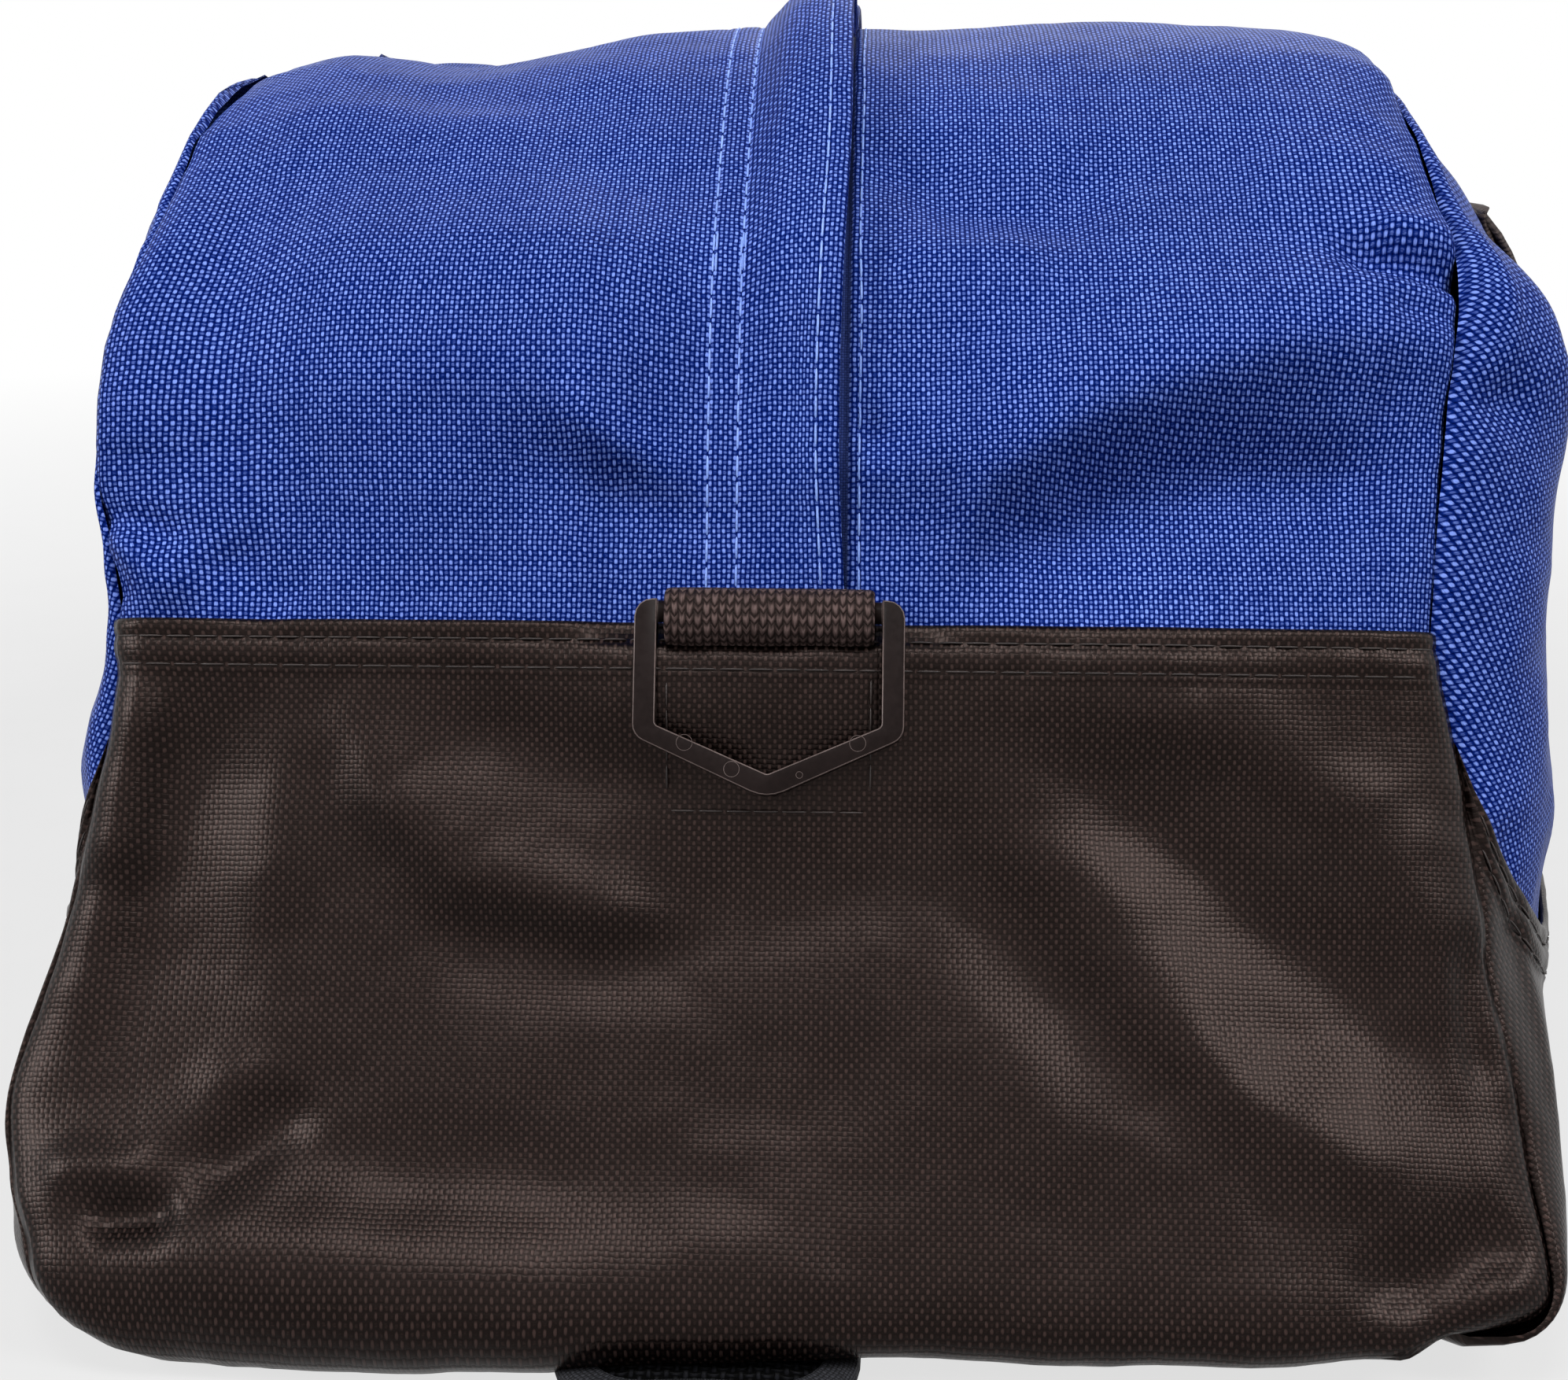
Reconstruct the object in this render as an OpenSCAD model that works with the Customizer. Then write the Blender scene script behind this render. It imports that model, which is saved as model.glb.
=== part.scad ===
// Stuffed two-tone duffel bag, standing on its base with its near end towards -Y.
// The origin is on the floor under the middle of the bag, Y runs along it and Z is up.

/* [Bag] */
// Length over the rounded foot of both ends
bag_length = 480; // [420:5:600]
// Height of the two crests of the top
bag_height = 221; // [190:1:260]
// From the middle plane to the left end seam at half height
left_width = 119; // [105:1:140]
// From the middle plane to the right end seam at half height
right_width = 123.5; // [105:1:140]
// How far the left side swells past its seams
left_bulge = 21; // [10:1:40]
// How far the right side swells past its seams
right_bulge = 35.5; // [20:0.5:50]
// Thickness of a panel: cloth, padding and lining
panel_t = 1.6; // [1:0.1:2.5]

/* [Base] */
// Height of the colour seam in the middle of each end
colour_seam_h = 122.2; // [90:1:150]
// Height of the black side base at the end seams
scoop_top_h = 103; // [80:1:120]
// Radius of the scoop in the top edge of the side base
scoop_r = 43; // [20:1:60]
// How far the folded black edge laps over the blue cloth
hem = 8; // [5:0.5:12]
// How far the foot of each end stands off the floor
end_lift = 5.7; // [5.5:0.1:8]
// Thickness of the stiffening board inside the base
board_t = 2; // [1:0.5:4]

/* [Zip] */
// Middle of the zip, right of the middle plane
zip_x = 5; // [2:0.5:8]
// Width of the closed coil
coil_w = 6; // [4:0.5:8]
// Height of the coil
coil_h = 2.2; // [1.8:0.1:3]
// Width of each tape
tape_w = 15; // [12:0.5:20]
// Thickness of the tape
tape_t = 0.7; // [0.5:0.1:1]
// Outer stitch row of the storm flap, left of the middle plane
flap_sewn_x = 12.1; // [10:0.1:16]
// Free edge of the storm flap, right of the middle plane
flap_free_x = 13.7; // [12:0.1:20]
// Thickness of the folded flap
flap_t = 1.4; // [1:0.1:2]
// How high the free edge stands over the crests
flap_rise = 9; // [7.5:0.1:12]

/* [D-rings] */
// Width of the webbing tabs, the handles and the shoulder strap
webbing_w = 38; // [30:1:50]
// Thickness of the webbing
webbing_t = 1.8; // [1.4:0.1:2.4]
// Outer width of a ring
ring_w = 49; // [40:0.5:60]
// From the bar's axis to the outer tip of a ring
ring_drop = 34; // [26:0.5:44]
// Straight length of the side bars below the bar's axis
ring_side = 22.8; // [16:0.2:26]
// Width of the ring's bars
ring_bar_w = 4.05; // [3:0.05:6]
// Thickness of the ring
ring_t = 4.2; // [3:0.1:6]

/* [Handles] */
// From the middle of the bag to the middle of each handle end
handle_y = 91; // [70:1:115]
// How far the right handle's fold lies below the crests
fold_right_drop = 33; // [26:1:56]
// How far the left handle's fold lies below the crests
fold_left_drop = 49; // [26:1:61]
// How far a handle hangs below its fold
handle_drop = 138; // [100:1:145]
// Width of the doubled grip
grip_w = 26; // [18:1:34]
// Thickness of the doubled grip
grip_t = 4; // [3:0.5:6]

/* [Shoulder strap] */
// Middle of the shoulder pad, left of the middle plane
pad_x = 9; // [0:0.5:20]
// Width of the shoulder pad
pad_w = 55; // [45:1:70]
// Length of the shoulder pad
pad_length = 190; // [150:5:260]
// Thickness of the pressed shoulder pad
pad_t = 3.2; // [2.5:0.1:3.4]
// How far the pad's tip shows in front of the bag
pad_reach = 12; // [5:1:40]
// Length of the snap hooks past their swivels
hook_length = 44; // [36:1:60]
// Width of the snap hooks
hook_w = 21; // [18:0.5:30]
// Thickness of the snap hooks
hook_t = 5; // [4:0.5:6]

/* [Hidden] */
$fn = 48;

half_length = bag_length / 2;
seam_gap = 0.3;
overrun = 1;
lap_gap = 0.1;
mid_lift = panel_t + lap_gap + lap_gap;
foot_h = end_lift + panel_t + lap_gap;

// Height against reach of an end, from the foot seam up to the crest, as shares.
end_shares = [[0.0335, 0.952], [0.0365, 0.987], [0.05, 0.999], [0.0815, 0.993], [0.199, 0.908],
    [0.427, 0.796], [0.553, 0.756], [0.674, 0.7096], [0.767, 0.668], [0.828, 0.628], [0.889, 0.559],
    [0.9434, 0.481], [0.982, 0.3946], [0.9968, 0.3125], [1, 0.256]];
// Dip of the top behind the crest: reach against height, as shares.
dip_shares = [[0.175, 0.982], [0.208, 0.9885], [0.256, 1]];
// Height against the spread of the end seams, as shares of the seam width.
edge_shares = [[0.0335, 0.89], [0.038, 0.955], [0.05, 1.04], [0.0905, 1.105], [0.181, 1.134],
    [0.317, 1.085], [0.43, 1.037], [0.557, 1], [1, 1]];
// Height against the swell of a side, as shares of its bulge.
bulge_shares = [[0, 0], [0.063, 0.3], [0.136, 0.34], [0.27, 0.58], [0.45, 0.9], [0.6, 1],
    [0.68, 1], [0.77, 0.76], [0.878, 0.46], [0.94, 0.24], [0.982, 0.09], [1, 0]];
bulge_power = 10;
lift_start_share = 0.8;
blend_share = 0.18;

function unit(v) = v / norm(v);
function clamp(v) = max(0, min(1, v));
function seam_width(s) = s > 0 ? right_width : left_width;
function bulge(s) = s > 0 ? right_bulge : left_bulge;
function end_reach(z) = half_length * lookup(z / bag_height, end_shares);
function edge_x(s, z) = seam_width(s) * lookup(z / bag_height, edge_shares);
function lift_share(w) = clamp((abs(w) - lift_start_share) / (1 - lift_start_share));
function side_floor(w) = mid_lift + (foot_h - mid_lift) * lift_share(w);
function dip(w) = bag_height * (1 - lookup(abs(w) * end_shares[14][1], dip_shares));
top_share = 0.9;
function top_weight(z) = clamp((z / bag_height - top_share) / (1 - top_share));

// A point of a side, from w = -1 at the front end seam to 1 at the rear one.
function side_point(s, w, z) =
    let (raise = (foot_h - side_floor(w)) * clamp(1 - z / (bag_height * blend_share)),
         zz = z + raise)
    [s * (edge_x(s, zz) + bulge(s) * lookup(z / bag_height, bulge_shares) * (1 - pow(abs(w), bulge_power))),
     w * end_reach(zz), z - dip(w) * top_weight(z)];
slope_step = 0.004;
function side_normal(s, w, z) =
    let (dw = side_point(s, min(1, w + slope_step), z) - side_point(s, max(-1, w - slope_step), z),
         dz = side_point(s, w, z + bag_height * slope_step) - side_point(s, w, z - bag_height * slope_step))
    s * unit(cross(dw, dz));
function side_offset(s, w, z, h) = side_point(s, w, z) + h * side_normal(s, w, z);

// The line over the bag in the Y-Z plane, between two heights on the front and the rear end.
function end_heights(z0, z1) = concat([z0],
    [for (p = end_shares) let (z = p[0] * bag_height) if (z > z0 + overrun && z < z1 - overrun) z], [z1]);
function front_line(z0, z1) = [for (z = end_heights(z0, z1)) [-end_reach(z), z]];
top_dip = [for (i = [1, 0]) [-dip_shares[i][0] * half_length, dip_shares[i][1] * bag_height]];
function flip_y(line) = [for (i = [len(line) - 1:-1:0]) [-line[i][0], line[i][1]]];
function whole_line(z0) =
    let (front = concat(front_line(z0, bag_height), top_dip)) concat(front, flip_y(front));
function line_normal(line, i) =
    let (t = unit(line[min(i + 1, len(line) - 1)] - line[max(i - 1, 0)])) [-t[1], t[0]];
function on_line(line, i, x, h) =
    let (p = line[i] + h * line_normal(line, i)) [x, p[0], p[1]];

top_h = dip_shares[0][1] * bag_height;
top_run = dip_shares[0][0] * half_length;

// Skin over rings of points, all with as many points, each ring a flat outline.
module skin(rings) {
    m = len(rings[0]);
    n = len(rings);
    sides = [for (i = [0:n - 2], j = [0:m - 1])
        each let (a = i * m + j, b = i * m + (j + 1) % m) [[a, b, b + m], [a, b + m, a + m]]];
    caps = [[for (j = [m - 1:-1:0]) j], [for (j = [0:m - 1]) (n - 1) * m + j]];
    polyhedron(points = [for (r = rings) each r], faces = concat(sides, caps), convexity = 8);
}

// A cloth sheet between an outer and an inner grid of points.
module sheet(outer, inner) {
    rows = len(outer);
    cols = len(outer[0]);
    count = rows * cols;
    points = concat([for (r = outer) each r], [for (r = inner) each r]);
    function at(i, j) = i * cols + j;
    faces = concat(
        [for (i = [0:rows - 2], j = [0:cols - 2])
            each [[at(i, j), at(i, j + 1), at(i + 1, j + 1)], [at(i, j), at(i + 1, j + 1), at(i + 1, j)]]],
        [for (i = [0:rows - 2], j = [0:cols - 2])
            each [[count + at(i, j), count + at(i + 1, j + 1), count + at(i, j + 1)],
                [count + at(i, j), count + at(i + 1, j), count + at(i + 1, j + 1)]]],
        [for (j = [0:cols - 2]) each strip(at(0, j), at(0, j + 1), count)],
        [for (i = [0:rows - 2]) each strip(at(i, cols - 1), at(i + 1, cols - 1), count)],
        [for (j = [0:cols - 2]) each strip(at(rows - 1, j + 1), at(rows - 1, j), count)],
        [for (i = [0:rows - 2]) each strip(at(i + 1, 0), at(i, 0), count)]);
    polyhedron(points = points, faces = faces, convexity = 8);
}
function strip(a, b, count) = [[a, count + a, count + b], [a, count + b, b]];

// Outline with its corners rounded to the radius given with each point: [x, y, r].
arc_steps = 4;
function slerp(u, v, angle, m) = (u * sin((1 - m) * angle) + v * sin(m * angle)) / sin(angle);
function rounded(points) = [for (i = [0:len(points) - 1])
    each let (n = len(points), p = points[i], a = points[(i + n - 1) % n], b = points[(i + 1) % n],
        c = [p[0], p[1]], u = unit([a[0], a[1]] - c), v = unit([b[0], b[1]] - c),
        half = acos(u * v) / 2, reach = p[2] / tan(half), centre = c + unit(u + v) * p[2] / sin(half),
        from = c + u * reach - centre, to = c + v * reach - centre)
    [for (k = [0:arc_steps]) centre + slerp(from, to, 180 - 2 * half, k / arc_steps)]];
function box_outline(w, y0, y1, r) =
    rounded([[-w / 2, y0, r], [w / 2, y0, r], [w / 2, y1, r], [-w / 2, y1, r]]);

// Ribbon of one thickness along a line in a plane, as a closed outline.
function ribbon(line, t) = concat(
    [for (i = [0:len(line) - 1]) line[i] + line_normal(line, i) * t / 2],
    [for (i = [len(line) - 1:-1:0]) line[i] - line_normal(line, i) * t / 2]);

// Extrudes an outline drawn in the Y-Z plane along X.
module along_x(x0, x1) {
    translate([x0, 0, 0]) rotate([90, 0, 90]) linear_extrude(x1 - x0) children();
}

// Blue band over the ends and the top, split by the zip
under_hem_h = colour_seam_h - hem;
left_edge_x = -flap_sewn_x / 2;
right_edge_x = flap_free_x + seam_gap + seam_gap;
seam_inset = panel_t + seam_gap;

module gusset(s, inner_x) {
    line = whole_line(under_hem_h);
    skin([for (i = [0:len(line) - 1])
        let (outer_x = s * (edge_x(s, line[i][1]) - seam_inset),
            xs = s > 0 ? [inner_x, outer_x] : [outer_x, inner_x])
        [on_line(line, i, xs[0], 0), on_line(line, i, xs[0], -panel_t),
            on_line(line, i, xs[1], -panel_t), on_line(line, i, xs[1], 0)]]);
}
module gusset_left() { color("royalblue") gusset(-1, left_edge_x); }
module gusset_right() { color("royalblue") gusset(1, right_edge_x); }

// Black foot of each end, lapped over the blue band
module end_base() {
    line = front_line(foot_h, colour_seam_h);
    skin([for (i = [0:len(line) - 1])
        let (x0 = -edge_x(-1, line[i][1]) + seam_inset, x1 = edge_x(1, line[i][1]) - seam_inset,
            h0 = lap_gap, h1 = lap_gap + panel_t)
        [on_line(line, i, x0, h1), on_line(line, i, x0, h0),
            on_line(line, i, x1, h0), on_line(line, i, x1, h1)]]);
}
module end_base_front() { color("#2b2324") end_base(); }
module end_base_rear() { color("#2b2324") mirror([0, 1, 0]) end_base(); }

// Side panels, domed between their seams
end_steps_share = [0, 0.012, 0.03, 0.055, 0.09, 0.13, 0.18, 0.24, 0.36, 0.52, 0.75, 1];
side_ws = concat([for (p = end_steps_share) p - 1],
    [for (i = [len(end_steps_share) - 2:-1:0]) 1 - end_steps_share[i]]);
side_reach = end_reach(scoop_top_h);
function base_top(w) =
    let (d = min(scoop_r, (1 - abs(w)) * side_reach))
    scoop_top_h - sqrt(max(0, scoop_r * scoop_r - pow(scoop_r - d, 2)));
rise_share = [0, 0.14, 0.28, 0.42, 0.55, 0.66, 0.76, 0.84, 0.9, 0.95, 0.98, 1];

module side_sheet(s, rows, low, high, h0, h1) {
    function grid(h) = [for (v = rows) [for (w = side_ws)
        side_offset(s, w, low(w) + (high(w) - low(w)) * v, h)]];
    if (s > 0)
        sheet(grid(h0), grid(h1));
    else
        sheet(grid(h1), grid(h0));
}
module side_panel(s) {
    side_sheet(s, rise_share, function (w) base_top(w) - hem, function (w) bag_height, -panel_t, 0);
}
module side_left() { color("royalblue") side_panel(-1); }
module side_right() { color("royalblue") side_panel(1); }

// Black side base with its scooped top edge, lapped over the side panel
foot_rows_share = [0, 0.03, 0.08, 0.16, 0.3, 0.5, 0.75, 1];
module side_base(s) {
    side_sheet(s, foot_rows_share, function (w) side_floor(w), function (w) base_top(w),
        seam_gap, seam_gap + panel_t);
}
module side_base_left() { color("#2b2324") side_base(-1); }
module side_base_right() { color("#2b2324") side_base(1); }

// Bottom panel, lifted over the strap that lies under it
foot_width_share = edge_shares[0][1];
bottom_reach = end_reach(foot_h) - seam_gap;
channel_left = pad_x + webbing_w * 1.35;
channel_right = webbing_w * 1.35;
channel_ramp = end_lift * 1.5;
function channel(x) = clamp(min((x + channel_left) / channel_ramp, (channel_right - x) / channel_ramp));
bottom_xs = [for (x = [-left_width * foot_width_share + seam_gap, -channel_left, -channel_left + channel_ramp,
    channel_right - channel_ramp, channel_right, right_width * foot_width_share - seam_gap]) x];
bottom_ys_share = [-1, -0.95, -0.9, -0.85, -lift_start_share, 0,
    lift_start_share, 0.85, 0.9, 0.95, 1];
module bottom_panel() {
    function level(x, w) = end_lift * max(channel(x), lift_share(w));
    function grid(h) = [for (w = bottom_ys_share) [for (x = bottom_xs)
        [x, w * bottom_reach, level(x, w) + h]]];
    color("#2b2324") sheet(grid(0), grid(panel_t));
}

// Stiffening board that lies on the bottom panel inside
board_z = end_lift + panel_t + seam_gap;
board_w = (left_width + right_width) * 0.8;
board_l = bag_length * 0.86;
board_corner = board_w / 12;
module base_board() {
    color("#3a3a3c") translate([(right_width - left_width) / 2, 0, board_z])
        linear_extrude(board_t) polygon(box_outline(board_w, -board_l / 2, board_l / 2, board_corner));
}

// Zip: two tapes under the band's edges, and the coil between them
tape_top = -panel_t - lap_gap;
module tape(x0, x1) {
    line = whole_line(colour_seam_h);
    skin([for (i = [0:len(line) - 1])
        [on_line(line, i, x0, tape_top), on_line(line, i, x0, tape_top - tape_t),
            on_line(line, i, x1, tape_top - tape_t), on_line(line, i, x1, tape_top)]]);
}
module zip_tape_left() { color("#1d2a55") tape(zip_x - tape_w, zip_x - lap_gap); }
module zip_tape_right() { color("#1d2a55") tape(zip_x + lap_gap, zip_x + tape_w); }
coil_base = tape_top + lap_gap;
module zip_coil() {
    line = whole_line(colour_seam_h);
    chamfer = coil_h / 4;
    color("#1d2a55") skin([for (i = [0:len(line) - 1])
        [for (p = [[-coil_w / 2, coil_base + coil_h - chamfer], [-coil_w / 2, coil_base], [coil_w / 2, coil_base],
            [coil_w / 2, coil_base + coil_h - chamfer], [coil_w / 2 - chamfer, coil_base + coil_h],
            [-coil_w / 2 + chamfer, coil_base + coil_h]])
            on_line(line, i, zip_x + p[0], p[1])]]);
}

// Storm flap, sewn on the left of the zip and tented over it
flap_foot_h = colour_seam_h + ring_bar_w + webbing_t * 4;
flap_end_share = 0.75;
slider_room = 6.9;
function flap_height(z) =
    let (near_top = clamp((z / bag_height - flap_end_share) / (1 - flap_end_share)))
    slider_room + (flap_rise - slider_room) * near_top;
module zip_flap() {
    line = whole_line(flap_foot_h);
    margin = flap_t;
    color("royalblue") skin([for (i = [0:len(line) - 1])
        let (end_on = line[i][1] < bag_height * flap_end_share,
            rise = end_on ? slider_room / 2 : flap_height(line[i][1]),
            top = [[-flap_sewn_x - margin, 0], [-flap_sewn_x / 2, 0], [-flap_sewn_x / 4, rise * 0.85],
                [zip_x, rise], [flap_free_x, rise]])
        [for (p = concat([for (j = [len(top) - 1:-1:0]) [top[j][0], top[j][1] + flap_t]], top))
            on_line(line, i, p[0], p[1] + lap_gap)]]);
}

// Webbing tabs and the five-sided rings that hang from them
bar_r = ring_bar_w / 2;
bore_r = bar_r + seam_gap;
roll_r = bore_r + webbing_t + lap_gap;
tab_h = colour_seam_h + bar_r;
function slope_down(z0, z1) = atan((end_reach(z1) - end_reach(z0)) / (z0 - z1));
end_slope = max(slope_down(colour_seam_h + hem, colour_seam_h),
    slope_down(colour_seam_h, colour_seam_h - ring_drop));
tab_stand = lap_gap + panel_t + lap_gap + roll_r;
ring_axis = [0, -end_reach(tab_h) - tab_stand * cos(end_slope), tab_h + tab_stand * sin(end_slope)];

module on_end() {
    translate(ring_axis) rotate([-end_slope, 0, 0]) children();
}
module ring_tab() {
    tail_h = roll_r;
    on_end() difference() {
        union() {
            rotate([0, 90, 0]) cylinder(h = webbing_w, r = roll_r, center = true);
            translate([-webbing_w / 2, 0, 0]) cube([webbing_w, roll_r, tail_h]);
        }
        rotate([0, 90, 0]) cylinder(h = webbing_w + overrun, r = bore_r, center = true);
    }
}
module ring_tab_front() { color("#23232a") ring_tab(); }
module ring_tab_rear() { color("#23232a") mirror([0, 1, 0]) ring_tab(); }

tip_r = ring_bar_w * 1.8;
outer_r = ring_bar_w * 0.8;
corner_r = ring_bar_w / 4;
module ring() {
    half = ring_w / 2;
    head = bar_r + lap_gap;
    inner = half - ring_bar_w;
    slant = unit([half, ring_drop - ring_side]);
    inner_side = ring_side - ring_bar_w / 2;
    inner_tip = ring_drop - ring_bar_w / slant[0];
    on_end() {
        rotate([90, 0, 0]) translate([0, 0, -ring_t / 2]) linear_extrude(ring_t) difference() {
            polygon(rounded([[-half, head, outer_r], [half, head, outer_r], [half, -ring_side, outer_r],
                [0, -ring_drop, tip_r], [-half, -ring_side, outer_r]]));
            polygon(rounded([[-inner, head + overrun, corner_r], [inner, head + overrun, corner_r],
                [inner, -inner_side, corner_r], [0, -inner_tip, corner_r], [-inner, -inner_side, corner_r]]));
        }
        rotate([0, 90, 0]) cylinder(h = ring_w - 2 * outer_r, r = bar_r, center = true);
    }
}
module d_ring_front() { color("#141414") ring(); }
module d_ring_rear() { color("#141414") mirror([0, 1, 0]) ring(); }

// Handle ends sewn on the sides, and the loops that hang from their folds
function fold_h(s) = bag_height - (s > 0 ? fold_right_drop : fold_left_drop);
function side_at(s, y, z, h) = side_offset(s, y / end_reach(z), z, h);
anchor_foot_h = scoop_top_h - scoop_r + seam_gap;
anchor_stand = seam_gap + webbing_t / 3;
anchor_rows_share = [0, 0.15, 0.3, 0.45, 0.6, 0.75, 0.9, 1];
anchor_cols_share = [-0.5, 0, 0.5];
module handle_anchor(s, side_y) {
    z0 = anchor_foot_h;
    z1 = fold_h(s) - webbing_t;
    function grid(h) = [for (v = anchor_rows_share) [for (u = anchor_cols_share)
        side_at(s, side_y + u * webbing_w, z0 + (z1 - z0) * v, h)]];
    color("#2a2022")
        if (s > 0)
            sheet(grid(anchor_stand), grid(anchor_stand + webbing_t));
        else
            sheet(grid(anchor_stand + webbing_t), grid(anchor_stand));
}
module handle_anchor_left_front() { handle_anchor(-1, -handle_y); }
module handle_anchor_left_rear() { handle_anchor(-1, handle_y); }
module handle_anchor_right_front() { handle_anchor(1, -handle_y); }
module handle_anchor_right_rear() { handle_anchor(1, handle_y); }

// A handle hangs flat along the side: down from one fold, across in a round sweep, and up.
loop_stand = anchor_stand + webbing_t + seam_gap;
loop_ease = webbing_t * 1.4;
leg_share = 0.42;
leg_rows_share = [0, 0.2, 0.4, 0.6, 0.8];
sweep_steps = 9;
sweep_power = 0.7;
function loop_half(s) =
    let (z0 = fold_h(s), z1 = z0 - leg_share * handle_drop, sweep = (1 - leg_share) * handle_drop)
    concat([for (v = leg_rows_share) [handle_y, z0 - v * leg_share * handle_drop]],
        [for (k = [0:sweep_steps - 1]) let (a = 90 * k / sweep_steps)
            [handle_y * pow(cos(a), sweep_power), z1 - sweep * pow(sin(a), sweep_power)]]);
module handle_loop(s) {
    half = loop_half(s);
    foot = [[0, fold_h(s) - handle_drop]];
    line = concat(half, foot, [for (i = [len(half) - 1:-1:0]) [-half[i][0], half[i][1]]]);
    skin([for (i = [0:len(line) - 1])
        let (across = line_normal(line, i), grip = clamp(1 - abs(line[i][0]) / handle_y) > 0.1 ? 1 : 0,
            hw = (webbing_w + (grip_w - webbing_w) * grip) / 2,
            base = loop_stand + loop_ease * clamp((fold_h(s) - line[i][1]) / webbing_w),
            top = base + webbing_t + (grip_t - webbing_t) * grip,
            a = line[i] - across * hw, b = line[i] + across * hw,
            ends = s > 0 ? [a, b] : [b, a])
        [side_at(s, ends[0][0], ends[0][1], base), side_at(s, ends[0][0], ends[0][1], top),
            side_at(s, ends[1][0], ends[1][1], top), side_at(s, ends[1][0], ends[1][1], base)]]);
}
module handle_left() { color("#2a2022") handle_loop(-1); }
module handle_right() { color("#2a2022") handle_loop(1); }

// Slider on the coil, and the pull that lies under the flap
slider_l = coil_w * 2.1;
slider_w = coil_w * 2;
plate_t = coil_h * 0.6;
slider_base = top_h + coil_base + coil_h + seam_gap;
boss_r = coil_w / 3;
pull_t = coil_h * 0.6;
pull_l = coil_w * 3.5;
pull_w = coil_w;
module zip_slider() {
    flange = (slider_w - coil_w) / 2 - seam_gap;
    flange_foot = top_h + tape_top + seam_gap;
    color("#8d8f92") {
        translate([zip_x, 0, slider_base]) linear_extrude(plate_t)
            polygon(box_outline(slider_w, -slider_l / 2, slider_l / 2, flange / 2));
        for (s = [-1, 1])
            translate([zip_x + s * (slider_w - flange) / 2 - flange / 2, -slider_l / 2 + flange, flange_foot])
                cube([flange, slider_l - 2 * flange, slider_base - flange_foot + plate_t / 2]);
        translate([zip_x, 0, slider_base]) cylinder(h = plate_t + seam_gap + pull_t + seam_gap, r = boss_r / 2);
    }
}
module zip_pull() {
    color("#8d8f92") translate([zip_x, 0, slider_base + plate_t + seam_gap]) linear_extrude(pull_t)
        difference() {
            polygon(box_outline(pull_w, -boss_r - seam_gap, pull_l, boss_r / 2));
            circle(r = boss_r / 2 + seam_gap);
        }
}

// Shoulder strap put away under the bag, its pad showing at the near end
pad_tip_y = -half_length - pad_reach;
pad_z = webbing_t + lap_gap + lap_gap;
pad_corner = pad_w / 4;
module strap_pad() {
    color("#161618") translate([-pad_x, pad_tip_y, pad_z]) linear_extrude(pad_t)
        polygon(box_outline(pad_w, 0, pad_length, pad_corner));
}
splay_lower = 4.2;
splay_upper = 4.5;
eye_bar_r = webbing_t;
turn_r = eye_bar_r + seam_gap + webbing_t / 2;
boss_r_hook = turn_r + webbing_t / 2 + seam_gap;
eye_y = half_length + webbing_w * 0.7;
eye_z = boss_r_hook + lap_gap;
upper_y0 = pad_tip_y + pad_length + seam_gap + webbing_w / 2 * sin(splay_upper);
turn_steps = 7;
wrap_angle = 210;

module lower_lie() {
    translate([-pad_x, pad_tip_y, 0]) rotate([0, 0, -splay_lower]) translate([0, -pad_tip_y, 0]) children();
}
module upper_lie() {
    translate([-pad_x, upper_y0, 0]) rotate([0, 0, splay_upper]) translate([0, -upper_y0, 0]) children();
}
// The end of a strap: round the eye's bar and back, sewn down on itself.
function strap_end() =
    let (low = webbing_t / 2, back = low + webbing_t + lap_gap)
    concat([[eye_y - webbing_w, low], [eye_y - turn_r * 3, low]],
        [for (k = [0:turn_steps]) let (a = wrap_angle * k / turn_steps)
            [eye_y + turn_r * sin(a), eye_z - turn_r * cos(a)]],
        [[eye_y - turn_r * 3.5, back], [eye_y - webbing_w, back]]);
module strap_lower() {
    low = webbing_t / 2;
    fold_mid = (low + pad_z + pad_t / 2) / 2;
    fold_r = fold_mid - low;
    fold_y = pad_tip_y - seam_gap - webbing_w / 2 * sin(splay_lower);
    fold = [for (k = [0:turn_steps]) let (a = 180 * k / turn_steps)
        [fold_y - fold_r * sin(a), fold_mid + fold_r * cos(a)]];
    color("#161618") lower_lie() along_x(-webbing_w / 2, webbing_w / 2)
        polygon(ribbon(concat(fold, strap_end()), webbing_t));
}
module strap_upper() {
    z = pad_z + webbing_t / 2;
    color("#161618") upper_lie() along_x(-webbing_w / 2, webbing_w / 2)
        polygon(ribbon(concat([[upper_y0, z], [eye_y - webbing_w * 3, z]], strap_end()), webbing_t));
}

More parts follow.
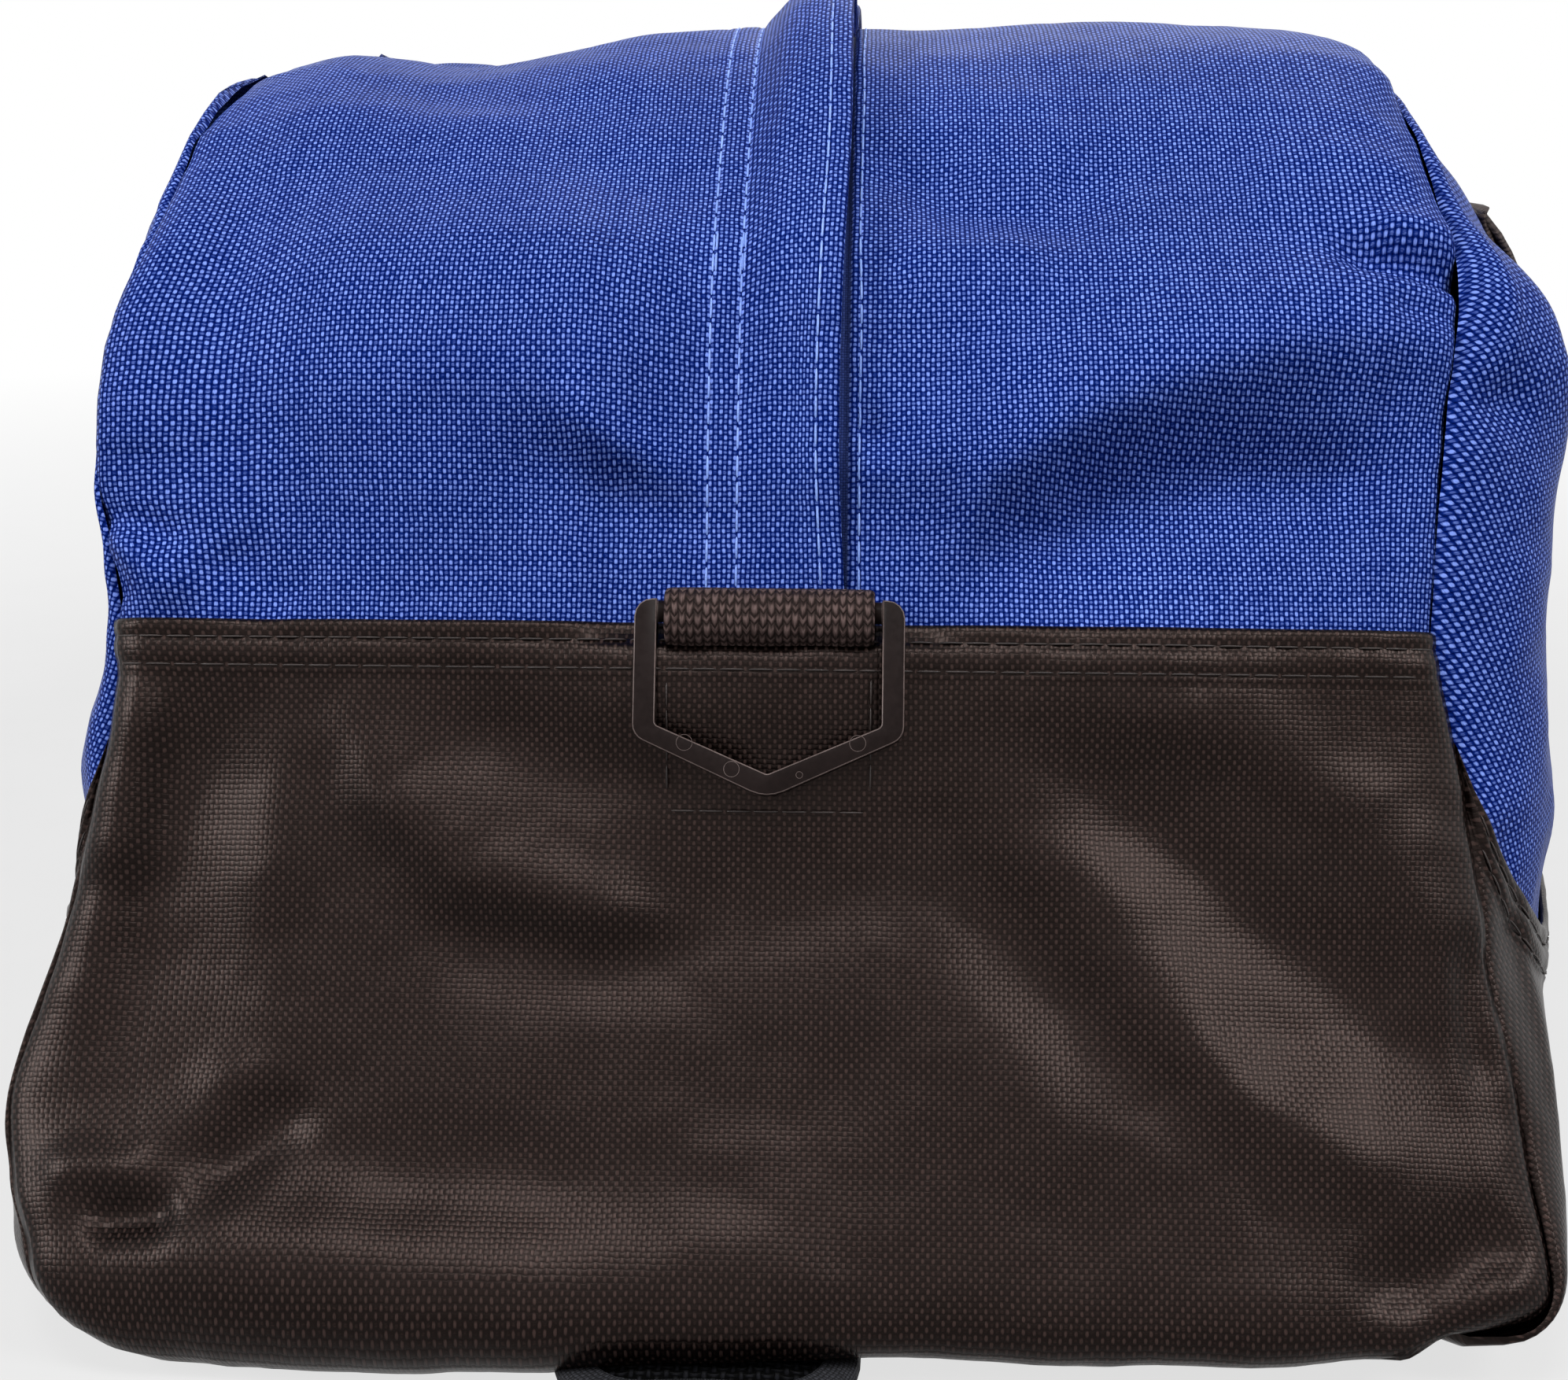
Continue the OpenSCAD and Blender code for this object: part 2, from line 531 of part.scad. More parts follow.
// Snap hooks: the eye sewn into the strap, the swivelling hook and its sprung gate
eye_wall = webbing_t * 1.7;
eye_w = webbing_w + 2 * (seam_gap + eye_wall);
eye_t = 2 * eye_bar_r + seam_gap;
head_t = webbing_t;
plate_y = turn_r + webbing_t / 2 + seam_gap + head_t + seam_gap;
plate_l = webbing_t * 1.6;
stem_r = boss_r_hook * 0.44;
boss_l = boss_r_hook;
stem_end = plate_y + plate_l + boss_l + seam_gap;
module hook_eye() {
    bar_cut = webbing_w + 2 * seam_gap;
    color("#1b1b1d") translate([0, eye_y, eye_z]) {
        rotate([0, 90, 0]) cylinder(h = eye_w - eye_wall, r = eye_bar_r, center = true);
        difference() {
            union() {
                translate([0, 0, -eye_t / 2]) linear_extrude(eye_t) difference() {
                    polygon(box_outline(eye_w, -eye_bar_r - lap_gap, plate_y + plate_l, eye_bar_r));
                    polygon(box_outline(bar_cut, -eye_bar_r - overrun, plate_y, eye_bar_r / 2));
                }
                translate([0, plate_y + plate_l / 2, 0]) rotate([-90, 0, 0])
                    cylinder(h = plate_l / 2 + boss_l, r = boss_r_hook);
            }
            translate([0, plate_y - overrun, 0]) rotate([-90, 0, 0])
                cylinder(h = plate_l + boss_l + 2 * overrun, r = stem_r + seam_gap);
        }
    }
}
module hook_eye_a() { upper_lie() hook_eye(); }
module hook_eye_b() { lower_lie() hook_eye(); }

hook_bar = hook_w * 0.21;
gate_w = hook_bar * 0.85;
gate_t = hook_t * 0.5;
gate_gap = lap_gap;
pin_r = hook_t * 0.2;
hook_y0 = stem_end + boss_l * 0.7;
pivot = [hook_w / 2 - gate_w / 2, hook_y0 + hook_bar * 1.5];
mouth_y = hook_y0 + hook_length - hook_w * 0.45;
module snap_hook() {
    r = hook_w * 0.4;
    color("#1b1b1d") translate([0, eye_y, eye_z]) {
        rotate([-90, 0, 0]) {
            translate([0, 0, plate_y - seam_gap - head_t]) cylinder(h = head_t, r = stem_r + 2 * seam_gap + lap_gap);
            translate([0, 0, plate_y - seam_gap - head_t]) cylinder(h = hook_y0 - plate_y + head_t, r = stem_r);
            translate([0, 0, stem_end]) cylinder(h = hook_y0 - stem_end + hook_bar / 2, r = hook_t / 2);
        }
        difference() {
            translate([0, 0, -hook_t / 2]) linear_extrude(hook_t) difference() {
                polygon(box_outline(hook_w, hook_y0, hook_y0 + hook_length, r));
                polygon(box_outline(hook_w - 2 * hook_bar, hook_y0 + hook_bar, hook_y0 + hook_length - hook_bar,
                    r - hook_bar));
                translate([0, pivot[1] + pin_r * 2])
                    square([hook_w, mouth_y - pivot[1] - pin_r * 2]);
            }
            gate_slot();
        }
        translate([pivot[0], pivot[1], -hook_t / 2]) cylinder(h = hook_t, r = pin_r);
    }
}
// Room for the gate's foot between the two cheeks of the hook
module gate_slot() {
    room_r = gate_w / 2 + seam_gap;
    translate([0, 0, -gate_t / 2 - gate_gap]) linear_extrude(gate_t + 2 * gate_gap) {
        translate(pivot) circle(r = room_r + seam_gap);
        translate([0, pivot[1]]) square([hook_w, pin_r * 2 + overrun]);
    }
}
module hook_gate() {
    color("#8d8f92") translate([pivot[0], eye_y + pivot[1], eye_z - gate_t / 2]) linear_extrude(gate_t)
        difference() {
            polygon(box_outline(gate_w, -gate_w / 2, mouth_y - pivot[1] - seam_gap, gate_w / 3));
            circle(r = pin_r + gate_gap);
        }
}
module snap_hook_a() { upper_lie() snap_hook(); }
module snap_hook_b() { lower_lie() snap_hook(); }
module hook_gate_a() { upper_lie() hook_gate(); }
module hook_gate_b() { lower_lie() hook_gate(); }

gusset_left();
gusset_right();
end_base_front();
end_base_rear();
side_left();
side_right();
side_base_left();
side_base_right();
bottom_panel();
base_board();
zip_tape_left();
zip_tape_right();
zip_coil();
zip_flap();
ring_tab_front();
ring_tab_rear();
d_ring_front();
d_ring_rear();
handle_anchor_left_front();
handle_anchor_left_rear();
handle_anchor_right_front();
handle_anchor_right_rear();
handle_left();
handle_right();
zip_slider();
zip_pull();
strap_pad();
strap_lower();
strap_upper();
hook_eye_a();
hook_eye_b();
snap_hook_a();
snap_hook_b();
hook_gate_a();
hook_gate_b();
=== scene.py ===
"""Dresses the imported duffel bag: woven cloth shells, webbing, moulded rings and hooks, stitches."""
import math
from functools import partial, reduce

import bmesh
import bpy
import numpy as np
from mathutils import Matrix, Vector


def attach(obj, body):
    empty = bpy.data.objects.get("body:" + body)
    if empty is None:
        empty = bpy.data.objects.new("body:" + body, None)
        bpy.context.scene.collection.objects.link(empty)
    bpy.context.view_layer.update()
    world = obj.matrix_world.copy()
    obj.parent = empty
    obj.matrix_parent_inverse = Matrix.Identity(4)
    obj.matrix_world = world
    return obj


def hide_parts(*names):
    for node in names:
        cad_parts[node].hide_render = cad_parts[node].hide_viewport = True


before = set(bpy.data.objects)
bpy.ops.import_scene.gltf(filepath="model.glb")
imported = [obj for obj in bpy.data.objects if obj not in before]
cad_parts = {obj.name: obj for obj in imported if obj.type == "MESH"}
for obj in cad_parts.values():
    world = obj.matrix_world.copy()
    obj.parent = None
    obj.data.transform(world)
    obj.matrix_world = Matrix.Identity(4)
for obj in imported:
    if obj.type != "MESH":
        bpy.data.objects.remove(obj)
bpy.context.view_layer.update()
MM = 0.001

# Sizes in millimetres, as in the part's source
LENGTH, HEIGHT = 480.0, 221.0
SEAM_WIDTH = {-1: 119.0, 1: 123.5}
BULGE = {-1: 21.0, 1: 35.5}
PANEL = 1.6
COLOUR_SEAM = 122.2
SCOOP_TOP, SCOOP_R = 103.0, 43.0
HEM = 8.0
END_LIFT = 5.7
ZIP_X = 5.0
FLAP_SEWN, FLAP_FREE, FLAP_RISE = 12.1, 13.7, 9.0
WEBBING_W, WEBBING_T = 38.0, 1.8
RING_DROP, RING_BAR, RING_T = 34.0, 4.05, 4.2
HANDLE_Y, HANDLE_DROP, GRIP_W, GRIP_T = 91.0, 138.0, 26.0, 4.0
FOLD_DROP = {-1: 49.0, 1: 33.0}
PAD_X, PAD_W, PAD_LENGTH, PAD_T, PAD_REACH = 9.0, 55.0, 190.0, 3.2, 12.0
SEAM_GAP, LAP_GAP = 0.3, 0.1

HALF = LENGTH / 2
MID_LIFT = PANEL + 2 * LAP_GAP
FOOT = END_LIFT + PANEL + LAP_GAP
TAPE_TOP = -PANEL - LAP_GAP
LOWEST = 0.6
BULGE_POWER = 10
SIDE_NAMES = {-1: "left", 1: "right"}
END_SHARES = [(0.0335, 0.952), (0.0365, 0.987), (0.05, 0.999), (0.0815, 0.993), (0.199, 0.908),
              (0.427, 0.796), (0.553, 0.756), (0.674, 0.7096), (0.767, 0.668), (0.828, 0.628),
              (0.889, 0.559), (0.9434, 0.481), (0.982, 0.3946), (0.9968, 0.3125), (1, 0.256)]
DIP_SHARES = [(0.175, 0.982), (0.208, 0.9885), (0.256, 1)]
EDGE_SHARES = [(0.0335, 0.89), (0.038, 0.955), (0.05, 1.04), (0.0905, 1.105), (0.181, 1.134),
               (0.317, 1.085), (0.43, 1.037), (0.557, 1), (1, 1)]
BULGE_SHARES = [(0, 0), (0.063, 0.3), (0.136, 0.34), (0.27, 0.58), (0.45, 0.9), (0.6, 1),
                (0.68, 1), (0.77, 0.76), (0.878, 0.46), (0.94, 0.24), (0.982, 0.09), (1, 0)]

# Camera of the photograph, 1993 x 1754
IMAGE_W, IMAGE_H = 1993.0, 1754.0
FOCAL = 2900.0
EYE = np.array([18.0, -586.0, 234.0])
AIM = np.array([2.5, -185.0, 111.5])
SENSOR = 36.0


def unit(v):
    return v / np.linalg.norm(v)


LOOK = unit(AIM - EYE)
RIGHT = unit(np.cross(LOOK, [0, 0, 1]))
UP = np.cross(RIGHT, LOOK)


def add_to_scene(name, data):
    obj = bpy.data.objects.new(name, data)
    bpy.context.scene.collection.objects.link(obj)
    return obj


def make_camera():
    data = bpy.data.cameras.new("camera")
    data.sensor_width = SENSOR
    data.lens = FOCAL / IMAGE_W * SENSOR
    data.clip_start = 0.01
    data.clip_end = 50
    camera = add_to_scene("camera", data)
    turn = Matrix([list(RIGHT), list(UP), list(-LOOK)]).transposed().to_4x4()
    camera.matrix_world = Matrix.Translation(Vector(EYE * MM)) @ turn
    bpy.context.scene.camera = camera


make_camera()


# Interpolation and noise

class Smooth:
    """Monotone cubic through a table, whose first column may be in shares of a length."""

    def __init__(self, table, x_unit=1.0):
        data = np.array(table, float)
        self.x, self.y = data[:, 0] * x_unit, data[:, 1]
        step = np.diff(self.x)
        slope = np.diff(self.y) / step
        before, after = slope[:-1], slope[1:]
        same = before * after > 0
        w1, w2 = 2 * step[1:] + step[:-1], step[1:] + 2 * step[:-1]
        inner = np.zeros(len(before))
        inner[same] = (w1 + w2)[same] / (w1[same] / before[same] + w2[same] / after[same])
        self.slope = np.concatenate([slope[:1], inner, slope[-1:]])

    def __call__(self, x):
        x = np.clip(x, self.x[0], self.x[-1])
        i = np.clip(np.searchsorted(self.x, x) - 1, 0, len(self.x) - 2)
        h = self.x[i + 1] - self.x[i]
        t = (x - self.x[i]) / h
        return ((1 + 2 * t) * (1 - t) ** 2 * self.y[i] + t * (1 - t) ** 2 * h * self.slope[i]
                + t * t * (3 - 2 * t) * self.y[i + 1] + t * t * (t - 1) * h * self.slope[i + 1])


def smoothstep(t):
    t = np.clip(t, 0, 1)
    return t * t * (3 - 2 * t)


def bell(distance, width):
    return np.exp(-(distance / width) ** 2)


LATTICE_SIZE = 256
LATTICE = np.random.default_rng(7).uniform(-1, 1, (LATTICE_SIZE, LATTICE_SIZE))


def noise(x, y, seed=0):
    """Smooth noise from -1 to 1, one lattice step per unit."""
    x, y = np.broadcast_arrays(np.asarray(x, float) + seed * 17.3, np.asarray(y, float) + seed * 31.7)
    i, j = np.floor(x).astype(int), np.floor(y).astype(int)
    u, v = smoothstep(x - i), smoothstep(y - j)

    def across(row):
        before, after = [LATTICE[(i + k) % LATTICE_SIZE, (j + row) % LATTICE_SIZE] for k in (0, 1)]
        return before * (1 - u) + after * u

    return across(0) * (1 - v) + across(1) * v


def layered(x, y, seed=0, octaves=3):
    total, weight, size = 0.0, 1.0, 1.0
    for k in range(octaves):
        total = total + weight * noise(x * size, y * size, seed + 5 * k)
        weight *= 0.5
        size *= 2.1
    return total


# Lines through points

def arc_steps(points):
    """Distance along a line at each of its points."""
    return np.concatenate([[0], np.cumsum(np.linalg.norm(np.diff(points, axis=0), axis=1))])


def resample(path, steps, places):
    """A path's columns at other distances along it."""
    return np.stack([np.interp(places, steps, path[:, k]) for k in range(path.shape[1])], -1)


def unit_rows(v):
    return v / np.linalg.norm(v, axis=-1)[..., None]


def path_normals(path, steps):
    """Unit normals of a line in a plane."""
    ahead = unit_rows(np.gradient(path, steps, axis=0))
    return np.stack([-ahead[:, 1], ahead[:, 0]], -1)


def catmull(points, per_step=24):
    """Smooth line through the points."""
    p = np.array(points, float)
    p = np.vstack([2 * p[0] - p[1], p, 2 * p[-1] - p[-2]])
    out = []
    for i in range(1, len(p) - 2):
        t = [0.0]
        for k in range(3):
            t.append(t[-1] + np.linalg.norm(p[i + k] - p[i + k - 1]) ** 0.5)
        s = np.linspace(t[1], t[2], per_step, endpoint=False)[:, None]
        a = [((t[k + 1] - s) * p[i - 1 + k] + (s - t[k]) * p[i + k]) / (t[k + 1] - t[k]) for k in range(3)]
        b = [((t[k + 2] - s) * a[k] + (s - t[k]) * a[k + 1]) / (t[k + 2] - t[k]) for k in range(2)]
        out.append(((t[2] - s) * b[0] + (s - t[1]) * b[1]) / (t[2] - t[1]))
    out.append(p[-2][None, :])
    return np.vstack(out)


# The bag's middle line, over the ends and the top, in the Y-Z plane

def middle_line():
    front = [(-r * HALF, z * HEIGHT) for z, r in END_SHARES]
    dip = [(-DIP_SHARES[i][0] * HALF, DIP_SHARES[i][1] * HEIGHT) for i in (1, 0)]
    half = front + dip
    rear = [(-y, z) for y, z in reversed(half)]
    return catmull(half + rear)


LINE = middle_line()
LINE_A = arc_steps(LINE)
LINE_END = LINE_A[-1]
LINE_T = unit_rows(np.gradient(LINE, LINE_A, axis=0))
CREST = int(np.argmax(LINE[:len(LINE) // 2, 1]))
CREST_A = LINE_A[CREST]
NEAR_END = slice(CREST + 1)
LEVEL_TOP = slice(CREST, len(LINE) - CREST)
edge_share = Smooth(EDGE_SHARES, HEIGHT)
bulge_share = Smooth(BULGE_SHARES, HEIGHT)


def line_at(a):
    """Point and outward normal of the middle line at arc length a: y, z, ny, nz."""
    y, z = [np.interp(a, LINE_A, LINE[:, k]) for k in (0, 1)]
    ty, tz = [np.interp(a, LINE_A, LINE_T[:, k]) for k in (0, 1)]
    size = np.hypot(ty, tz)
    return y, z, -tz / size, ty / size


def a_front(z):
    """Arc length at a height of the near end."""
    return np.interp(z, LINE[NEAR_END, 1], LINE_A[NEAR_END])


def a_of_y(y):
    """Arc length at a place on the top."""
    return np.interp(y, LINE[LEVEL_TOP, 0], LINE_A[LEVEL_TOP])


def reach_at(z):
    """How far an end lies from the middle of the bag at a height."""
    return -np.interp(z, LINE[NEAR_END, 1], LINE[NEAR_END, 0])


UNDER_HEM_A = float(a_front(COLOUR_SEAM - HEM))
SEAM_A = float(a_front(COLOUR_SEAM))


def edge_x(side, z):
    """How far a side's seam lies from the middle of the bag."""
    return SEAM_WIDTH[side] * edge_share(z)


def from_photo(px, py):
    """Where the camera's ray through a pixel meets the near end: x and arc length."""
    y, z, line_a = LINE[NEAR_END, 0], LINE[NEAR_END, 1], LINE_A[NEAR_END]
    ry, rz = y - EYE[1], z - EYE[2]
    k = (px - IMAGE_W / 2) / FOCAL
    x = (k * (LOOK[1] * ry + LOOK[2] * rz) - RIGHT[1] * ry) / (RIGHT[0] - k * LOOK[0])
    depth = LOOK[0] * x + LOOK[1] * ry + LOOK[2] * rz
    rise = UP[0] * x + UP[1] * ry + UP[2] * rz
    v = IMAGE_H / 2 - FOCAL * rise / depth
    order = np.argsort(v)
    a = np.interp(py, v[order], line_a[order])
    return EYE[0] + np.interp(a, line_a, x), a


# Folds: lines on a surface with a height and a width on each side, in millimetres

class Folds:
    """Rows of points, height, width on the left of the line, width on its right."""

    def __init__(self, *rows):
        self.rows = [(np.array(points, float), height, left, right) for points, height, left, right in rows]

    def __call__(self, u, v):
        u, v = np.broadcast_arrays(u, v)
        total = np.zeros(u.shape)
        for points, height, left, right in self.rows:
            total += height * self.one(u, v, points, left, right)
        return total

    @staticmethod
    def one(u, v, points, left, right, taper=0.3, at_ends=0.15):
        sizes = np.linalg.norm(np.diff(points, axis=0), axis=1)
        along = np.concatenate([[0], np.cumsum(sizes)])
        best = np.full(u.shape, np.inf)
        signed, place = np.zeros(u.shape), np.zeros(u.shape)
        for k, size in enumerate(sizes):
            p, d = points[k], (points[k + 1] - points[k]) / size
            t = np.clip((u - p[0]) * d[0] + (v - p[1]) * d[1], 0, size)
            du, dv = u - p[0] - t * d[0], v - p[1] - t * d[1]
            dist = np.hypot(du, dv)
            near = dist < best
            best = np.where(near, dist, best)
            signed = np.where(near, d[0] * dv - d[1] * du, signed)
            place = np.where(near, along[k] + t, place)
        share = place / along[-1]
        ends = smoothstep(share / taper) * smoothstep((1 - share) / taper)
        return bell(best, np.where(signed > 0, left, right)) * (at_ends + (1 - at_ends) * ends)


def photo_folds(*rows):
    return Folds(*[([from_photo(*p) for p in points], *sizes) for points, *sizes in rows])


# Folds of the near end, placed by pixels of the photograph
NEAR_BLUE = photo_folds(
    # left half
    ([(250, 455), (440, 470), (640, 465), (800, 435), (940, 430)], 11.5, 34, 22),
    ([(310, 150), (300, 330), (290, 560)], -2.0, 6, 6),
    ([(290, 180), (282, 400), (272, 640)], 3.0, 5, 18),
    ([(690, 500), (790, 580), (915, 660)], 3.0, 5, 4.5),
    ([(640, 540), (730, 620), (860, 700)], -2.2, 6, 8),
    ([(225, 560), (215, 640)], -1.6, 8, 12),
    ([(150, 668), (190, 655), (228, 672), (250, 715)], -4.6, 5, 3.2),
    ([(165, 705), (205, 690), (240, 730), (262, 780)], 3.0, 4.5, 5),
    ([(160, 700), (172, 740), (182, 775)], -2.8, 3, 3),
    ([(290, 690), (380, 790)], -2.2, 6, 6),
    ([(300, 190), (440, 150), (640, 170), (800, 190)], 2.6, 10, 20),
    ([(660, 130), (760, 215), (880, 320)], -2.2, 14, 12),
    ([(300, 640), (460, 610), (640, 660)], 1.2, 9, 9),
    # right half
    ([(1130, 745), (1250, 610), (1390, 525), (1540, 465), (1700, 430), (1860, 430)], 8.6, 15, 9),
    ([(1230, 760), (1400, 655), (1560, 615), (1720, 610), (1860, 620)], -8.8, 10, 15),
    ([(1098, 760), (1130, 690)], 2.0, 4, 5),
    ([(1092, 706), (1122, 716)], -3.0, 3.2, 3.2),
    ([(1092, 560), (1130, 540)], -2.0, 4, 4),
    ([(1092, 620), (1140, 600)], 1.6, 4, 4),
    ([(1120, 420), (1300, 390), (1500, 340), (1660, 330)], 1.6, 14, 16),
    ([(1100, 190), (1230, 262), (1340, 276), (1440, 190)], -3.4, 7, 9),
    ([(1110, 320), (1240, 340), (1360, 300)], 2.2, 8, 10),
    ([(1660, 322), (1740, 330), (1800, 336), (1870, 346)], -6.0, 4.2, 4.2),
    ([(1700, 296), (1780, 300), (1860, 304)], 2.4, 4, 4.5),
    ([(1730, 392), (1790, 396), (1850, 404)], -2.6, 3.4, 3.4),
    ([(1720, 470), (1800, 500), (1850, 570)], -2.0, 8, 9),
    ([(1560, 200), (1700, 230), (1830, 240)], 2.0, 12, 14),
    ([(1750, 100), (1800, 200), (1830, 290)], -2.4, 7, 7))
NEAR_BLACK = photo_folds(
    # left part
    ([(250, 815), (232, 980), (200, 1150), (176, 1380)], -3.4, 18, 5),
    ([(205, 820), (185, 960), (150, 1160)], 3.6, 5, 13),
    ([(330, 880), (360, 1040), (330, 1200)], 1.8, 9, 9),
    ([(440, 850), (490, 1010), (600, 1115), (760, 1155), (930, 1155)], 3.4, 11, 6),
    ([(540, 840), (620, 930), (760, 985), (900, 1000)], -1.8, 8, 8),
    ([(480, 1140), (600, 1205), (780, 1225), (960, 1205)], -1.8, 6, 8),
    ([(680, 856), (850, 868), (1000, 870), (1190, 866)], 3.0, 7, 13),
    ([(740, 1105), (900, 1135), (1060, 1135), (1180, 1085)], -2.8, 13, 10),
    ([(380, 1395), (600, 1380), (860, 1400), (1000, 1410)], 1.2, 16, 12),
    ([(350, 1320), (260, 1415), (150, 1465)], 1.6, 6, 6),
    ([(400, 1380), (320, 1465), (235, 1530)], -2.4, 5, 6),
    ([(40, 1500), (120, 1488), (215, 1505)], 2.4, 5, 4),
    ([(90, 1556), (170, 1548), (240, 1545)], -3.6, 4, 4),
    ([(240, 1515), (420, 1490), (620, 1500), (900, 1530)], -2.2, 10, 12),
    ([(90, 1640), (250, 1600), (420, 1625), (600, 1655), (860, 1670)], 2.8, 13, 12),
    # right part
    ([(1180, 884), (1400, 890), (1580, 930), (1730, 1040), (1830, 1190), (1915, 1340)], 2.4, 11, 8),
    ([(1300, 945), (1460, 1050), (1620, 1190), (1780, 1315), (1930, 1375)], -2.2, 9, 9),
    ([(1215, 935), (1345, 1100), (1445, 1240), (1555, 1385), (1720, 1475), (1950, 1505)], 2.9, 11, 8),
    ([(1130, 990), (1240, 1140), (1345, 1275), (1455, 1395), (1580, 1465)], -1.8, 7, 11),
    ([(1040, 1170), (1180, 1290), (1330, 1395), (1500, 1450)], 1.0, 14, 14),
    ([(1075, 1240), (1080, 1460), (1088, 1690)], -1.0, 6, 7),
    ([(1880, 1180), (1900, 1300), (1925, 1420)], -2.2, 5, 4),
    ([(1200, 1560), (1500, 1590), (1760, 1600), (1930, 1540)], -1.8, 14, 12),
    ([(960, 1440), (1300, 1445), (1640, 1475)], 2.2, 20, 22),
    ([(960, 1650), (1300, 1660), (1650, 1670)], -1.6, 16, 12),
    ([(1700, 1662), (1840, 1618), (1960, 1545)], -3.2, 7, 5),
    ([(1740, 1705), (1870, 1668), (1960, 1615)], 1.6, 5, 7),
    ([(1760, 1738), (1860, 1734), (1990, 1700)], -6.0, 12, 14))
# Folds of the far end, by x and arc length from its foot
FAR = Folds(
    ([(-110, 215), (-60, 190), (-20, 170)], 2.6, 14, 18),
    ([(100, 200), (60, 175), (20, 160)], 2.4, 12, 18),
    ([(115, 160), (80, 150), (40, 165)], -2.4, 8, 12),
    ([(-115, 150), (-80, 140), (-50, 148)], -2.2, 7, 10),
    ([(-20, 110), (-50, 80), (-100, 50)], 4.2, 14, 18),
    ([(-10, 85), (-40, 60), (-80, 35)], -3.6, 12, 14),
    ([(25, 112), (60, 90), (115, 70)], 3.6, 14, 18),
    ([(20, 80), (60, 62), (110, 44)], -3.2, 12, 14),
    ([(125, 45), (80, 28), (40, 20)], 3.0, 14, 18),
    ([(-125, 30), (-80, 20), (-30, 24)], 2.8, 12, 16),
    ([(128, 30), (105, 18), (85, 6)], -4.5, 8, 9),
    ([(-126, 55), (-104, 40), (-95, 20)], -3.8, 7, 9))
# Wrinkles across the top, by x and y
TOP = Folds(
    ([(-118, -30), (-70, -22), (-25, -32)], 1.8, 10, 12),
    ([(-118, 22), (-60, 30), (-20, 18)], -2.0, 9, 12),
    ([(-116, 44), (-70, 52), (-30, 46)], 1.8, 8, 10),
    ([(122, -24), (80, -30), (40, -16)], -2.2, 10, 10),
    ([(122, 8), (84, 16), (46, 8)], 2.2, 9, 11),
    ([(120, 40), (80, 34), (40, 48)], -2.0, 8, 10))

# Height of the near crest over the middle line, against x
CREST_RISE = Smooth([(-125, -9), (-118, -5), (-108, -2.5), (-97, 0), (-85, -1), (-73, -2.6), (-54, -0.5),
                     (-28, 4.4), (-8, 5), (42, 6), (82, 6.7), (103, 6.2), (118, 3.2), (125, 0)])
# Height of the far crest and of the top between the crests, against x
FAR_RISE = Smooth([(-125, -9), (-95, -6), (-75, -8), (-50, -6.5), (-28, -1.5), (0, 0), (118, 0), (125, -4)])
TOP_RISE = Smooth([(-119, -2), (-90, -3.5), (-50, -3.5), (-20, 0), (60, 0), (123, -1)])
# How far each seam of the near end strays outwards, against height
STRAY = {-1: Smooth([(0, -3), (12, -3), (23, -2.4), (32, 0.4), (44, 3), (60, 2), (86, 1.5), (100, 1.5),
                     (120, 4), (135, 7), (147, 10), (160, 9.5), (175, 8), (184, 5), (198, 2.6), (208, 2),
                     (221, -0.6)]),
         1: Smooth([(0, 3), (18, 2), (39, -4), (57, -5), (80, -2), (100, 0), (122, -1), (150, 1), (173, 4),
                    (189, 6), (205, 4), (221, 2)])}
SEAM_SINK, SEAM_ROUND, SEAM_LIFT = 3.4, 12.0, 0.7
BAND_STRAY, SIDE_STRAY, FAR_STRAY = 34.0, 12.0, 0.6
# How low the cloth stays where a ring turns
RING_CALM = 0.4
# How wide the crest's rise is on both sides of it; height, place and width of an end's belly and foot
BEFORE_CREST, BEHIND_CREST = 62.0, 34.0
BELLY, FOOT_SWELL = (3.4, 0.42 * CREST_A, 70.0), (2.0, 14.0, 30.0)
# Soft unevenness: height, length along each direction, seed
BAND_WAVES = ((0.6, 36.0, 30.0, 1), (0.2, 11.0, 10.0, 2))
SIDE_WAVES = ((0.8, 40.0, 32.0, 21), (0.25, 13.0, 11.0, 25))
TREMBLE = 6.5
# How far the foot of each end sags below its level line, against x on the near end
FOOT_SAG = Smooth([(-125, 4.2), (-105, 6.0), (-80, 5.6), (-45, 2.2), (-20, 0.4), (40, 0.4), (80, 0.4),
                   (125, -1.2)])
FOOT_SAG_REACH = 26
# Where the cloth stays level or low for the zip and for the rings
ZIP_LEVEL_X, ZIP_LEVEL_Y = (-18, 38), 60
RING_ROOM_X, RING_ROOM_A = 38, 34


def grids(*values):
    return np.broadcast_arrays(*[np.asarray(v, float) for v in values])


def with_waves(h, table, u, v, seed=0):
    for height, u_length, v_length, row_seed in table:
        h = h + height * layered(u / u_length, v / v_length, row_seed + seed)
    return h


def mirrored(x, a):
    """Coordinates on the end that is nearer, seen from outside it."""
    far = a > LINE_END / 2
    return np.where(far, -x, x), np.where(far, LINE_END - a, a), far


def turn_in(d, radius):
    t = np.clip(1 - d / radius, 0, 1)
    return 1 - np.sqrt(np.clip(1 - t * t, 0, 1))


def seam_round(a, side):
    return SEAM_ROUND * (1 + 0.25 * noise(a / 31.0, 0.5, 3 + side) + 0.12 * noise(a / 7.5, 2.5, 9 + side))


def seam_offset(a, side):
    """How a seam lies from the meeting of the flat panels."""
    _, _, ny, nz = line_at(a)
    depth = SEAM_SINK * (1 + 0.3 * noise(a / 31.0, 1.5, 5 + side)) + 0.4 * noise(a / 7.5, 3.5, 13 + side)
    return np.stack(np.broadcast_arrays(-0.3 * side * depth, -ny * depth, -nz * depth), -1)


